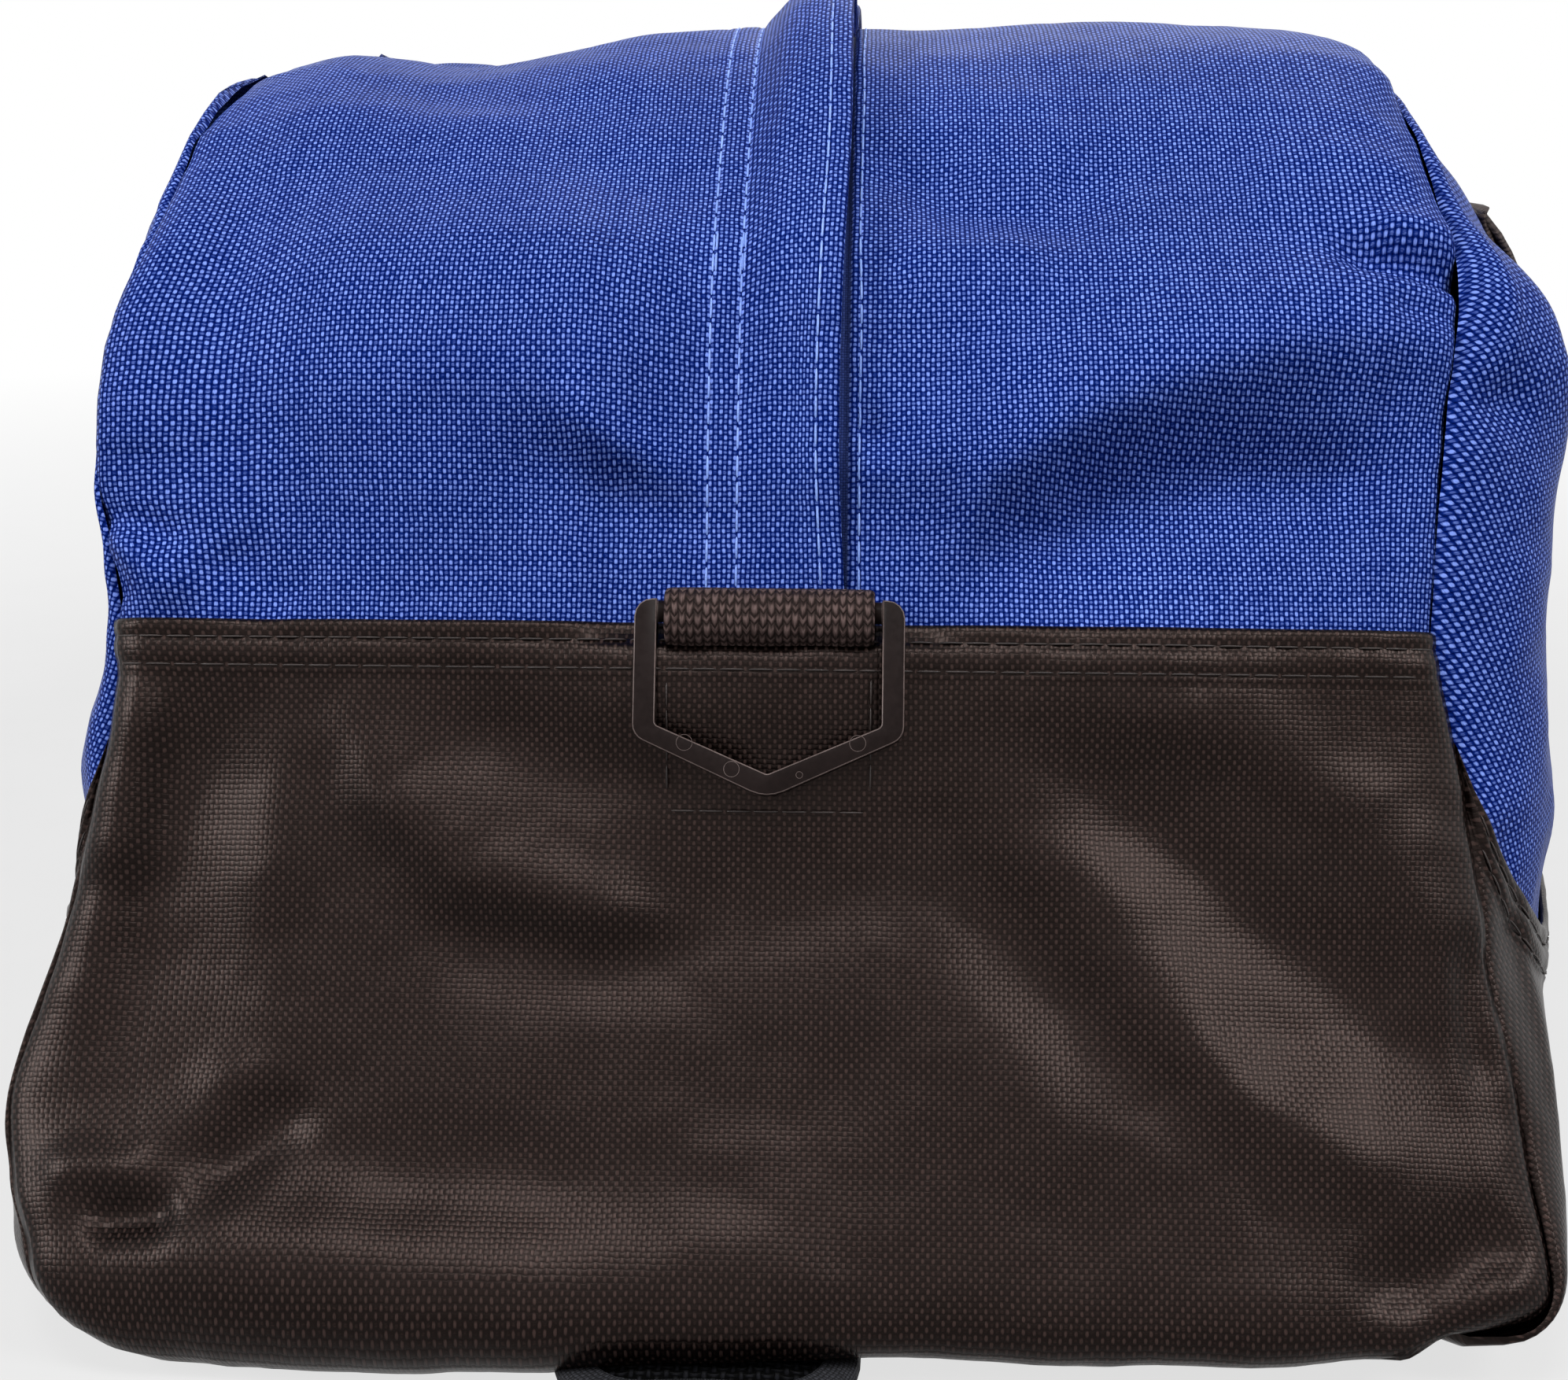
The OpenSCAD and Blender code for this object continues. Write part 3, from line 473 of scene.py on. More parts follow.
def stray(a, side):
    """How far a seam strays outwards, over both ends and the top."""
    _, a_near, far = mirrored(0.0, a)
    _, z, _, _ = line_at(a_near)
    on_top = np.abs(a - LINE_END / 2) < LINE_END / 2 - CREST_A
    on_ends = np.where(far, FAR_STRAY * STRAY[-side](z), STRAY[side](z))
    return np.where(on_top, STRAY[side](HEIGHT) + 1.2 * noise(a / 25.0, 0.9, 51 + side), on_ends)


def zip_fade(x, y, z):
    """Where the top stays level for the slider and its pull."""
    first, last = ZIP_LEVEL_X
    return (smoothstep((ZIP_LEVEL_Y - np.abs(y)) / 14) * smoothstep((x - first) / 8)
            * smoothstep((last - x) / 10) * (z > HEIGHT * 0.9))


def ring_room(x, a):
    """Where the cloth stays low over the hem, so that the ring can turn up."""
    return (smoothstep((RING_ROOM_X - np.abs(x)) / 10) * smoothstep((a - SEAM_A + 4) / 4)
            * smoothstep((SEAM_A + RING_ROOM_A - a) / 18))


def band_height(x, a):
    """How far the cloth of the ends and the top lies outside the middle line."""
    y, z, _, _ = line_at(a)
    end_x, end_a, far = mirrored(x, a)
    left, right = x + edge_x(-1, z), edge_x(1, z) - x
    u = (right - left) / (right + left)
    crest = bell(end_a - CREST_A, np.where(end_a > CREST_A, BEHIND_CREST, BEFORE_CREST))
    h = np.where(far, FAR_RISE(x), CREST_RISE(x)) * crest
    h = h + TOP_RISE(x) * smoothstep((end_a - CREST_A - 8) / 22)
    for power, (height, place, width) in ((2, BELLY), (4, FOOT_SWELL)):
        h = h + height * (1 - u ** power) * bell(end_a - place, width)
    near = NEAR_BLUE(end_x, end_a) + NEAR_BLACK(end_x, end_a)
    h = h + np.where(far, FAR(end_x, end_a), near) * smoothstep((CREST_A + 30 - end_a) / 30)
    h = h + TOP(x, y) * smoothstep((end_a - CREST_A - 6) / 24)
    h = with_waves(h, BAND_WAVES, x, a)
    for side, d in ((-1, left), (1, right)):
        h = h + 0.6 * noise(a / TREMBLE, 0.3 + d / 40.0, 11 + side) * np.exp(-np.maximum(d, 0) / 11.0)
    return h - ring_room(x, end_a) * np.maximum(h - RING_CALM, 0)


def outward(side, ny, nz):
    """The way a seam faces, as its two panels' normals together."""
    return np.stack(np.broadcast_arrays(float(side), ny, nz), -1)


def band(x, a, lift=0.0, tented=False):
    """Points of the cloth over the ends and the top."""
    x, a, lift = grids(x, a, lift)
    y, z, ny, nz = line_at(a)
    h = band_height(x, a)
    if not tented:
        h = h * (1 - zip_fade(x, y, z))
    way = np.stack([0 * x, ny, nz], -1)
    points = np.stack([x, y, z], -1) + way * h[..., None]
    for side in (-1, 1):
        d = np.maximum(edge_x(side, z) - side * x, 0)
        t = turn_in(d, seam_round(a, side))[..., None]
        points = points + t * seam_offset(a, side)
        points[..., 0] += side * stray(a, side) * smoothstep(1 - d / BAND_STRAY)
        way = way * (1 - t) + outward(side, ny, nz) * SEAM_LIFT / math.sqrt(2) * t
    points = points + way * lift[..., None]
    end_x, end_a, _ = mirrored(x, a)
    points[..., 2] -= FOOT_SAG(end_x) * (1 - smoothstep(end_a / FOOT_SAG_REACH))
    points[..., 2] = np.maximum(points[..., 2], LOWEST)
    return points


def surface_normal(surface, u, v, du, dv):
    along_u = surface(u + du, v) - surface(u - du, v)
    along_v = surface(u, v + dv) - surface(u, v - dv)
    return unit_rows(np.cross(along_u, along_v))


def band_normal(x, a):
    return surface_normal(band, x, a, 0.6, 0.6)


# The sides: w runs from -1 at the near seam to 1 at the far one

def side_floor(w):
    return MID_LIFT + (FOOT - MID_LIFT) * np.clip((np.abs(w) - 0.8) / 0.2, 0, 1)


def base_top(w):
    d = np.minimum(SCOOP_R, (1 - np.abs(w)) * reach_at(SCOOP_TOP))
    return SCOOP_TOP - np.sqrt(np.maximum(0, SCOOP_R ** 2 - (SCOOP_R - d) ** 2))


def side_flat(side, w, z):
    """Points of a side's panel with its bulge but no folds."""
    zz = z + (FOOT - side_floor(w)) * np.clip(1 - z / (HEIGHT * 0.18), 0, 1)
    end_reach = DIP_SHARES[-1][0]
    dip = HEIGHT * (1 - np.interp(np.abs(w) * end_reach, *np.array(DIP_SHARES).T))
    top = np.clip((z / HEIGHT - 0.9) / 0.1, 0, 1)
    x = edge_x(side, zz) + BULGE[side] * bulge_share(z) * (1 - np.abs(w) ** BULGE_POWER)
    return np.stack(np.broadcast_arrays(side * x, w * reach_at(zz), z - dip * top), -1)


SAMPLE_W = 0.004


def side_way(side, w, z):
    """The way a side's panel faces."""
    after, before = np.minimum(1, w + SAMPLE_W), np.maximum(-1, w - SAMPLE_W)
    dw = side_flat(side, after, z) - side_flat(side, before, z)
    dz = side_flat(side, w, z + 0.9) - side_flat(side, w, z - 0.9)
    return unit_rows(side * np.cross(dw, dz))


# Folds of the sides, by y and z
SIDE_FOLDS = {
    1: Folds(
        ([(-168, 182), (-150, 176), (-128, 168)], 5.5, 13, 15),
        ([(-176, 176), (-168, 166), (-150, 158)], -3.0, 5, 5),
        ([(-196, 96), (-190, 66), (-186, 40), (-190, 12)], -7.0, 26, 30),
        ([(-165, 84), (-160, 58), (-165, 30)], -2.0, 18, 26),
        ([(-84, 205), (-84, 150), (-84, 110)], -2.4, 12, 12),
        ([(-140, 196), (-136, 172), (-140, 150)], 2.6, 12, 14),
        ([(-150, 160), (-150, 120), (-150, 70)], -3.0, 34, 34),
        ([(-100, 120), (-40, 132), (60, 128), (150, 118)], 2.2, 16, 22),
        ([(-100, 150), (-40, 168), (40, 160), (110, 168)], 2.4, 10, 16),
        ([(-60, 100), (0, 112), (80, 96), (150, 110)], -2.2, 12, 12),
        ([(60, 175), (110, 184), (150, 166)], 3.4, 9, 12),
        ([(-60, 190), (-10, 182), (40, 192)], -2.6, 8, 10),
        ([(-195, 26), (-130, 42), (-60, 36), (40, 44), (160, 34)], 2.6, 11, 14),
        ([(-60, 72), (20, 62), (110, 74), (190, 60)], -2.6, 10, 14),
        ([(100, 60), (160, 42), (215, 30)], 2.6, 10, 12)),
    -1: Folds(
        ([(-196, 104), (-192, 80), (-192, 50), (-200, 20)], -7.0, 24, 28),
        ([(-150, 175), (-150, 120), (-150, 70)], -4.0, 30, 34),
        ([(-178, 190), (-166, 165), (-160, 138)], -3.5, 14, 26),
        ([(-198, 128), (-186, 102), (-176, 76)], 4.0, 14, 20),
        ([(-110, 116), (-40, 126), (20, 118), (120, 130)], 2.2, 16, 20),
        ([(-150, 158), (-80, 170), (0, 160), (90, 172)], 2.2, 11, 15),
        ([(-120, 145), (-60, 150), (20, 140)], -2.2, 8, 10),
        ([(30, 100), (110, 92), (170, 112)], -2.0, 9, 12),
        ([(-215, 34), (-140, 26), (-60, 40), (60, 30), (180, 40)], 2.4, 11, 13),
        ([(60, 190), (110, 196), (150, 178)], 2.8, 8, 10),
        ([(-180, 70), (-90, 60), (0, 72), (110, 62)], -2.4, 9, 14))}


def side_cloth(side, w, z, lift=0.0):
    """Points of a side's cloth."""
    w, z, lift = grids(w, z, lift)
    p, n = side_flat(side, w, z), side_way(side, w, z)
    reach = reach_at(z)
    y = w * reach
    h = with_waves(SIDE_FOLDS[side](y, z), SIDE_WAVES, y, z, side)
    front_a = a_front(z)
    seams = ((front_a, (1 + w) * reach), (LINE_END - front_a, (1 - w) * reach),
             (a_of_y(np.clip(w, -1, 1) * reach_at(HEIGHT)), np.maximum(HEIGHT - z, 0)))
    calm = 1.0
    for a, d in seams:
        h = h + 0.7 * noise(a / TREMBLE, 0.7 + d / 40.0, 31 + side) * np.exp(-d / 12.0)
        calm = calm * smoothstep((d + 3) / 12.0)
    h = h * calm * smoothstep(z / 14.0)
    p = p + n * h[..., None]
    offset, corner, weight, widest, strayed = 0.0, 0.0, 0.0, 0.0, 0.0
    for a, d in seams:
        t = turn_in(d, seam_round(a, side))
        _, _, ny, nz = line_at(a)
        offset = offset + t[..., None] * seam_offset(a, side)
        corner = corner + t[..., None] * outward(side, ny, nz)
        weight = weight + t
        wide = smoothstep(1 - d / SIDE_STRAY)
        strayed = np.where(wide > widest, wide * stray(a, side), strayed)
        widest = np.maximum(wide, widest)
    p = p + offset / np.maximum(weight, 1)[..., None]
    p[..., 0] += side * strayed
    t = np.minimum(weight, 1)[..., None]
    way = n * (1 - t) + corner / np.maximum(weight, 1e-6)[..., None] * SEAM_LIFT / math.sqrt(2) * t
    p = p + way * lift[..., None]
    p[..., 2] = np.maximum(p[..., 2], LOWEST)
    return p


def side_cloth_normal(side, w, z):
    w = np.clip(w, -0.99, 0.99)
    return side * surface_normal(partial(side_cloth, side), w, z, SAMPLE_W, 0.8)


# Meshes

def spread(low, high, step):
    return np.linspace(low, high, max(2, int(round((high - low) / step)) + 1))


def add_object(name, vertices, faces, material, uv=None):
    """A mesh object from points in millimetres, with one UV per vertex in millimetres."""
    mesh = bpy.data.meshes.new(name)
    mesh.from_pydata((np.asarray(vertices, float) * MM).tolist(), [], faces)
    if uv is not None:
        layer = mesh.uv_layers.new(name="weave")
        loops = np.zeros(len(mesh.loops), np.int64)
        mesh.loops.foreach_get("vertex_index", loops)
        layer.data.foreach_set("uv", (np.asarray(uv, float) * MM)[loops].astype(np.float32).ravel())
    mesh.polygons.foreach_set("use_smooth", [True] * len(mesh.polygons))
    mesh.materials.append(material)
    mesh.update()
    return add_to_scene(name, mesh)


def grid_faces(rows, cols, flip=False, wrap=False):
    i, j = np.meshgrid(np.arange(rows - 1), np.arange(cols if wrap else cols - 1), indexing="ij")
    k = (j + 1) % cols
    quads = np.stack([i * cols + j, i * cols + k, (i + 1) * cols + k, (i + 1) * cols + j], -1).reshape(-1, 4)
    return quads[:, ::-1] if flip else quads


def vertex_uv(uv, points):
    """One U and V for each point of a grid."""
    return np.stack(np.broadcast_arrays(*uv, points[..., 0])[:2], -1).reshape(-1, 2)


def add_grid(name, points, uv, material, flip=False):
    faces = grid_faces(*points.shape[:2], flip).tolist()
    return add_object(name, points.reshape(-1, 3), faces, material, vertex_uv(uv, points))


def add_skin(name, rings, uv, material):
    """A closed skin over rings of points."""
    rows, cols = rings.shape[:2]
    faces = grid_faces(rows, cols, wrap=True).tolist()
    faces.append(list(range(cols))[::-1])
    faces.append(list(range((rows - 1) * cols, rows * cols)))
    obj = add_object(name, rings.reshape(-1, 3), faces, material, vertex_uv(uv, rings))
    bm = bmesh.new()
    bm.from_mesh(obj.data)
    bmesh.ops.recalc_face_normals(bm, faces=bm.faces)
    bm.to_mesh(obj.data)
    bm.free()
    return obj


def ride(obj, body, slot=None, *nodes):
    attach(obj, body)
    if nodes:
        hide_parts(*nodes)
    return obj


FLAT_ANGLE, SHARP_ANGLE, SHADE_ANGLE = math.radians(1), math.radians(35), math.radians(38)


def bevelled(node, material, slot, body, width, edge_material=None):
    """A copy of a CAD node with its sharp edges rounded, in a material of their own if there is one."""
    bm = bmesh.new()
    bm.from_mesh(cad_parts[node].data)
    bmesh.ops.remove_doubles(bm, verts=bm.verts, dist=1e-6)
    bmesh.ops.dissolve_limit(bm, angle_limit=FLAT_ANGLE, verts=bm.verts, edges=bm.edges)
    sharp = [e for e in bm.edges if len(e.link_faces) == 2 and e.calc_face_angle(0) > SHARP_ANGLE]
    bmesh.ops.bevel(bm, geom=sharp, offset=width * MM, segments=2, profile=0.5, affect="EDGES",
                    clamp_overlap=not edge_material, material=1 if edge_material else -1)
    mesh = bpy.data.meshes.new(node + "_finished")
    bm.to_mesh(mesh)
    bm.free()
    mesh.polygons.foreach_set("use_smooth", [True] * len(mesh.polygons))
    mesh.set_sharp_from_angle(angle=SHADE_ANGLE)
    for look in (material, edge_material):
        if look:
            mesh.materials.append(look)
    return ride(add_to_scene(mesh.name, mesh), body, slot, node)


# Materials

class Nodes:
    """Short ways to add shader nodes to a material or a world."""

    def __init__(self, owner, shader="Principled BSDF"):
        self.owner = owner
        owner.use_nodes = True
        self.tree = owner.node_tree
        self.shader = self.tree.nodes[shader]

    def add(self, kind, *inputs, **settings):
        node = self.tree.nodes.new(kind)
        for key, value in settings.items():
            setattr(node, key, value)
        for k, value in enumerate(inputs):
            self.put(node.inputs[k], value)
        return node

    def put(self, socket, value):
        if isinstance(value, bpy.types.NodeSocket):
            self.tree.links.new(value, socket)
        elif value is not None:
            socket.default_value = value

    def math(self, operation, a, b=None, c=None, clamp=False):
        node = self.add("ShaderNodeMath", a, b, c, operation=operation)
        node.use_clamp = clamp
        return node.outputs[0]

    def mix(self, share, a, b):
        node = self.add("ShaderNodeMix", data_type="RGBA")
        self.put(node.inputs[0], share)
        self.put(node.inputs[6], a)
        self.put(node.inputs[7], b)
        return node.outputs[2]

    def remap(self, value, low, high, new_low, new_high):
        return self.add("ShaderNodeMapRange", value, low, high, new_low, new_high).outputs[0]

    def noise(self, vector, scale, detail=2.0, rough=0.5, flat=False):
        node = self.add("ShaderNodeTexNoise", noise_dimensions="2D" if flat else "3D")
        self.put(node.inputs["Vector"], vector)
        node.inputs["Scale"].default_value = scale
        node.inputs["Detail"].default_value = detail
        node.inputs["Roughness"].default_value = rough
        return node

    def random(self, *cell):
        if len(cell) == 1:
            node = self.add("ShaderNodeTexWhiteNoise", noise_dimensions="1D")
            self.put(node.inputs["W"], cell[0])
        else:
            node = self.add("ShaderNodeTexWhiteNoise", self.vector(*cell), noise_dimensions="2D")
        return node.outputs[0]

    def vector(self, x, y, z=0.0):
        return self.add("ShaderNodeCombineXYZ", x, y, z).outputs[0]

    def place(self):
        return self.add("ShaderNodeTexCoord").outputs["Object"]

    def bump(self, height, distance):
        node = self.add("ShaderNodeBump")
        node.inputs["Distance"].default_value = distance * MM
        self.put(node.inputs["Height"], height)
        return node.outputs[0]

    def background_rays(self):
        """1 for what the camera, a reflection or clear glass sees, 0 for light."""
        path = self.add("ShaderNodeLightPath")
        rays = [path.outputs[f"Is {kind} Ray"] for kind in ("Camera", "Transmission", "Glossy")]
        return reduce(partial(self.math, "MAXIMUM"), rays)


def rgba(colour, factor=1.0):
    return (*[c * factor for c in colour], 1.0)


PER_METRE = 1000.0
DRIFT_SCALE, WEAR_SCALE, WEAR_TONE = 160.0, 22.0, 0.1
# Fibres for each yarn: along it, and how many more across it
FIBRES_ALONG, FIBRES_MORE = 1.2, 5.0


def woven(name, gap_painted_shade, low, high, pitch=(0.912, 0.948), warp_width=1.0, weft_width=0.9, depth=0.4,
          rough=0.6, specular=0.15, sheen=(1, 1, 1), fibre=0.3, vary=0.15, weft_light=0.75, slant=0.0):
    """Plain weave in the piece's UV plane: warp and weft pass over each other in turn; its colours paint
    shade between the yarns and on the weft, and a highlight on the yarn crowns.
    """
    n = Nodes(bpy.data.materials.new(name))
    uv = n.add("ShaderNodeUVMap", uv_map="weave").outputs[0]
    parts = n.add("ShaderNodeSeparateXYZ", uv)
    shift = n.add("ShaderNodeSeparateColor", n.noise(uv, DRIFT_SCALE, 1.0, flat=True).outputs["Color"])
    a, b = [n.math("MULTIPLY_ADD", parts.outputs[k], PER_METRE / pitch[k],
                   n.math("MULTIPLY", shift.outputs[k], 0.5)) for k in (0, 1)]

    def cell(place):
        """A yarn's number, and the place across it from its middle."""
        number = n.math("FLOOR", place)
        return number, n.math("SUBTRACT", n.math("SUBTRACT", place, number), 0.5)

    def yarn(across, along, width, sign):
        square = n.math("POWER", n.math("MULTIPLY", across, 2.0 / width), 2.0)
        body = n.math("SQRT", n.math("SUBTRACT", 1.0, square, clamp=True))
        wave = n.math("MULTIPLY", n.math("COSINE", n.math("MULTIPLY", along, math.pi)), over)
        return n.math("MULTIPLY", body, n.math("MULTIPLY_ADD", wave, 0.5 * sign, 0.5))

    ia, fa = cell(a)
    b = n.math("MULTIPLY_ADD", n.math("ABSOLUTE", fa), slant, b)
    ib, fb = cell(b)
    over = n.math("MULTIPLY_ADD", n.math("PINGPONG", n.math("ADD", ia, ib), 1.0), -2.0, 1.0)
    warp, weft = yarn(fa, fb, warp_width, 1.0), yarn(fb, fa, weft_width, -1.0)
    height = n.math("MAXIMUM", warp, weft)
    is_warp = n.math("GREATER_THAN", warp, weft)
    is_weft = n.math("SUBTRACT", 1.0, is_warp)
    lengths = [n.math("MULTIPLY", place, n.math("MULTIPLY_ADD", on_top, FIBRES_MORE, FIBRES_ALONG))
               for place, on_top in ((a, is_warp), (b, is_weft))]
    fibres = n.noise(n.vector(*lengths), 1.0, 2.0, flat=True).outputs[0]
    line = n.math("ADD", n.math("MULTIPLY", ia, is_warp), n.math("MULTIPLY", ib, is_weft))
    # Yarn height picks the colour: painted shade in the gaps between yarns, painted highlight on the crowns
    shade = n.remap(height, 0.1, 0.9, 0, 1)
    # Weft floats are darker than warp floats by weft_light: painted shade
    shade = n.math("MULTIPLY", shade, n.math("MULTIPLY_ADD", is_warp, 1.0 - weft_light, weft_light))
    for value, size, lowest, highest in ((n.random(ia, ib), vary, 0, 1), (n.random(line), 0.6 * vary, 0, 1),
                                         (fibres, fibre, 0.3, 0.7)):
        shade = n.math("MULTIPLY", shade, n.remap(value, lowest, highest, 1 - size, 1 + size))
    # gap_painted_shade is painted shade, low the cloth's own colour, high a painted highlight
    cloth = n.mix(n.remap(shade, 0.0, 0.5, 0, 1), rgba(gap_painted_shade), rgba(low))
    cloth = n.mix(n.remap(shade, 0.45, 1.0, 0, 1), cloth, rgba(high))
    wear = n.noise(uv, WEAR_SCALE, 3.0, 0.6).outputs[0]
    tinted = n.add("ShaderNodeVectorMath", cloth, operation="SCALE")
    n.put(tinted.inputs["Scale"], n.remap(wear, 0.3, 0.7, 1 - WEAR_TONE, 1 + WEAR_TONE))
    n.put(n.shader.inputs["Base Color"], tinted.outputs[0])
    n.put(n.shader.inputs["Normal"], n.bump(n.math("MULTIPLY_ADD", fibres, 0.12, height), depth))
    n.shader.inputs["Roughness"].default_value = rough
    n.shader.inputs["Specular IOR Level"].default_value = specular
    n.shader.inputs["Specular Tint"].default_value = rgba(sheen)
    return n.owner


def mottled(name, dark, light, rough=0.4, grain=900.0, depth=0.02, metallic=0.0, specular=0.3):
    """Moulded plastic, metal or thread with fine grain and a cloudy tone."""
    n = Nodes(bpy.data.materials.new(name))
    where = n.place()
    fine = n.noise(where, grain, 3.0, 0.6).outputs[0]
    cloud = n.noise(where, 70.0, 3.0, 0.6).outputs[0]
    mixed = n.math("ADD", n.math("MULTIPLY", fine, 0.5), n.math("MULTIPLY", cloud, 0.5))
    n.put(n.shader.inputs["Base Color"], n.mix(n.remap(mixed, 0.35, 0.65, 0, 1), rgba(dark), rgba(light)))
    n.put(n.shader.inputs["Roughness"], n.remap(fine, 0.3, 0.7, rough - 0.07, rough + 0.1))
    n.put(n.shader.inputs["Normal"], n.bump(fine, depth))
    n.shader.inputs["Metallic"].default_value = metallic
    n.shader.inputs["Specular IOR Level"].default_value = specular
    return n.owner


# Weave colours: painted shade between the yarns, the cloth's own colour, and a painted highlight on the yarn
# crowns
BLUE = woven("royal_blue_cloth", (0.0003, 0.0025, 0.045), (0.003, 0.016, 0.155), (0.19, 0.285, 0.76),
             warp_width=0.82, depth=0.08, rough=0.34, specular=0.01, sheen=(0.12, 0.25, 1.0), fibre=0.2,
             vary=0.1, weft_light=0.6)
BLACK = woven("brown_black_cloth", (0.0005, 0.0002, 0.0002), (0.0012, 0.0005, 0.0004),
              (0.036, 0.022, 0.0195), warp_width=0.8, depth=0.06, rough=0.31, specular=0.17,
              sheen=(0.9, 0.68, 0.62), fibre=0.2, vary=0.12, weft_light=0.5)
TAPE = woven("zip_tape_cloth", (0.002, 0.008, 0.06), (0.01, 0.025, 0.14), (0.03, 0.06, 0.25),
             pitch=(0.5, 0.5), depth=0.1)
HANDLE = woven("handle_webbing", (0.004, 0.003, 0.003), (0.03, 0.022, 0.021), (0.075, 0.056, 0.053),
               pitch=(1.5, 0.75), depth=0.35)
TAB = woven("tab_webbing", (0.001, 0.0006, 0.0006), (0.022, 0.014, 0.013), (0.105, 0.071, 0.067),
            pitch=(1.45, 1.75), warp_width=0.9, weft_width=0.7, depth=0.6, slant=0.9, sheen=(1.0, 0.76, 0.7))
STRAP = woven("strap_webbing", (0.002, 0.002, 0.002), (0.014, 0.014, 0.015), (0.04, 0.04, 0.043),
              pitch=(1.2, 0.8), depth=0.3)
MESH = woven("pad_mesh", (0.0006, 0.0006, 0.0006), (0.002, 0.002, 0.0024), (0.009, 0.009, 0.011),
             pitch=(1.6, 1.6), warp_width=0.6, weft_width=0.6, depth=0.5, specular=0.05)
BINDING = woven("pad_binding", (0.002, 0.002, 0.002), (0.012, 0.012, 0.014), (0.035, 0.036, 0.042),
                pitch=(0.7, 0.7), depth=0.15)
BLUE_THREAD = mottled("light_blue_thread", (0.13, 0.22, 0.6), (0.3, 0.45, 0.95), grain=2600.0, depth=0.08)
BLACK_THREAD = mottled("brown_thread", (0.008, 0.005, 0.0045), (0.03, 0.021, 0.019), grain=2600.0,
                       depth=0.08)
RING_PLASTIC = mottled("ring_plastic", (0.007, 0.004, 0.0036), (0.012, 0.0075, 0.007), rough=0.35,
                       specular=0.07)
# Pale colour for the ring's bevel faces and ejector rims: a painted highlight along its edges
RING_EDGE_HIGHLIGHT = mottled("ring_edge_painted_highlight", (0.07, 0.05, 0.046), (0.14, 0.105, 0.098), rough=0.3, specular=0.2)
HOOK_PLASTIC = mottled("hook_plastic", (0.008, 0.008, 0.009), (0.013, 0.013, 0.014), rough=0.4, specular=0.3)
STEEL = mottled("zip_steel", (0.4, 0.41, 0.43), (0.6, 0.61, 0.63), rough=0.3, metallic=1.0)
COIL = mottled("coil_nylon", (0.012, 0.025, 0.12), (0.03, 0.06, 0.26), rough=0.35)
BOARD = mottled("board_plastic", (0.04, 0.04, 0.043), (0.06, 0.06, 0.064), rough=0.6)


# Stitches and other small round-ended bars

# Along a stitch: share of its length, share of its radius, height over the cloth in radii
STITCH_RINGS = np.array([(0.0, 0.35, -0.55), (0.12, 0.85, 0.25), (0.5, 1.0, 0.55), (0.88, 0.85, 0.25),
                         (1.0, 0.35, -0.55)])
BAR_SIDES = 6
STITCH_LENGTH, STITCH_GAP = 4.4, 0.7


def capsules(start, end, up, radius):
    """Points and faces of bars that dip into the cloth at both ends."""
    shares, sizes, lifts = STITCH_RINGS.T
    across = unit_rows(np.cross(up, unit_rows(end - start)))
    centre = (start[:, None] + (end - start)[:, None] * shares[None, :, None]
              + up[:, None] * (lifts * radius)[None, :, None])
    turn = np.arange(BAR_SIDES) * 2 * math.pi / BAR_SIDES
    out = (across[:, None, None] * np.cos(turn)[None, None, :, None]
           + up[:, None, None] * np.sin(turn)[None, None, :, None])
    points = centre[:, :, None] + out * (sizes * radius)[None, :, None, None]
    one = grid_faces(len(shares), BAR_SIDES, wrap=True)
    first = np.arange(len(start)) * len(shares) * BAR_SIDES
    faces = (one[None] + first[:, None, None]).reshape(-1, 4)
    return points.reshape(-1, 3), faces.tolist()


def add_stitches(name, rows, material, body="bag", radius=0.24):
    """Rows of stitches; each row is a path of points and outward normals."""
    starts, ends = [], []
    for k, (points, normals) in enumerate(rows):
        path = np.concatenate([points, normals], -1)
        steps = arc_steps(points)
        at = np.arange(0.3 + 0.5 * (k % 3), steps[-1] - STITCH_LENGTH, STITCH_LENGTH + STITCH_GAP)
        at = at + 0.25 * noise(at / 3.0, 0.5, 61 + k)
        starts.append(resample(path, steps, at))
        ends.append(resample(path, steps, at + STITCH_LENGTH))
    start, end = np.vstack(starts), np.vstack(ends)
    bars = capsules(start[:, :3], end[:, :3], unit_rows(start[:, 3:]), radius)
    return ride(add_object(name, *bars, material), body)


def band_row(x, a, lift=0.0):
    """Points and normals of a row of stitches on the ends and the top."""
    x, a = grids(x, a)
    return band(x, a, lift), band_normal(x, a)


def side_row(side, w, z, lift=0.0):
    w, z = grids(w, z)
    return side_cloth(side, w, z, lift), side_cloth_normal(side, w, z)


def straight(start, end, count=25):
    """Places from one end of a row to the other, one array for each coordinate."""
    share = np.linspace(0, 1, count)
    return [p + (q - p) * share for p, q in zip(start, end)]


def crossed_box(left, right, low, high, top):
    """Lines of a box seam, in sewing order: two sides up to the top, the foot, the head and a cross."""
    return [((left, low), (left, top)), ((right, low), (right, top)), ((left, low), (right, low)),
            ((left, high), (right, high)), ((left, low), (right, high)), ((right, low), (left, high))]


# Blue cloth

STEP = 1.7
LEFT_EDGE, RIGHT_EDGE = -FLAP_SEWN / 2, FLAP_FREE + 2 * SEAM_GAP
HEM_ROWS = (2.6, 7.7)
# The edge that is turned in beside the zip: x from its fold, height
TURNED_IN = np.array([(6.0, -1.3), (1.0, -1.3), (-0.5, -0.9), (-0.5, -0.5), (-0.1, -0.1)])


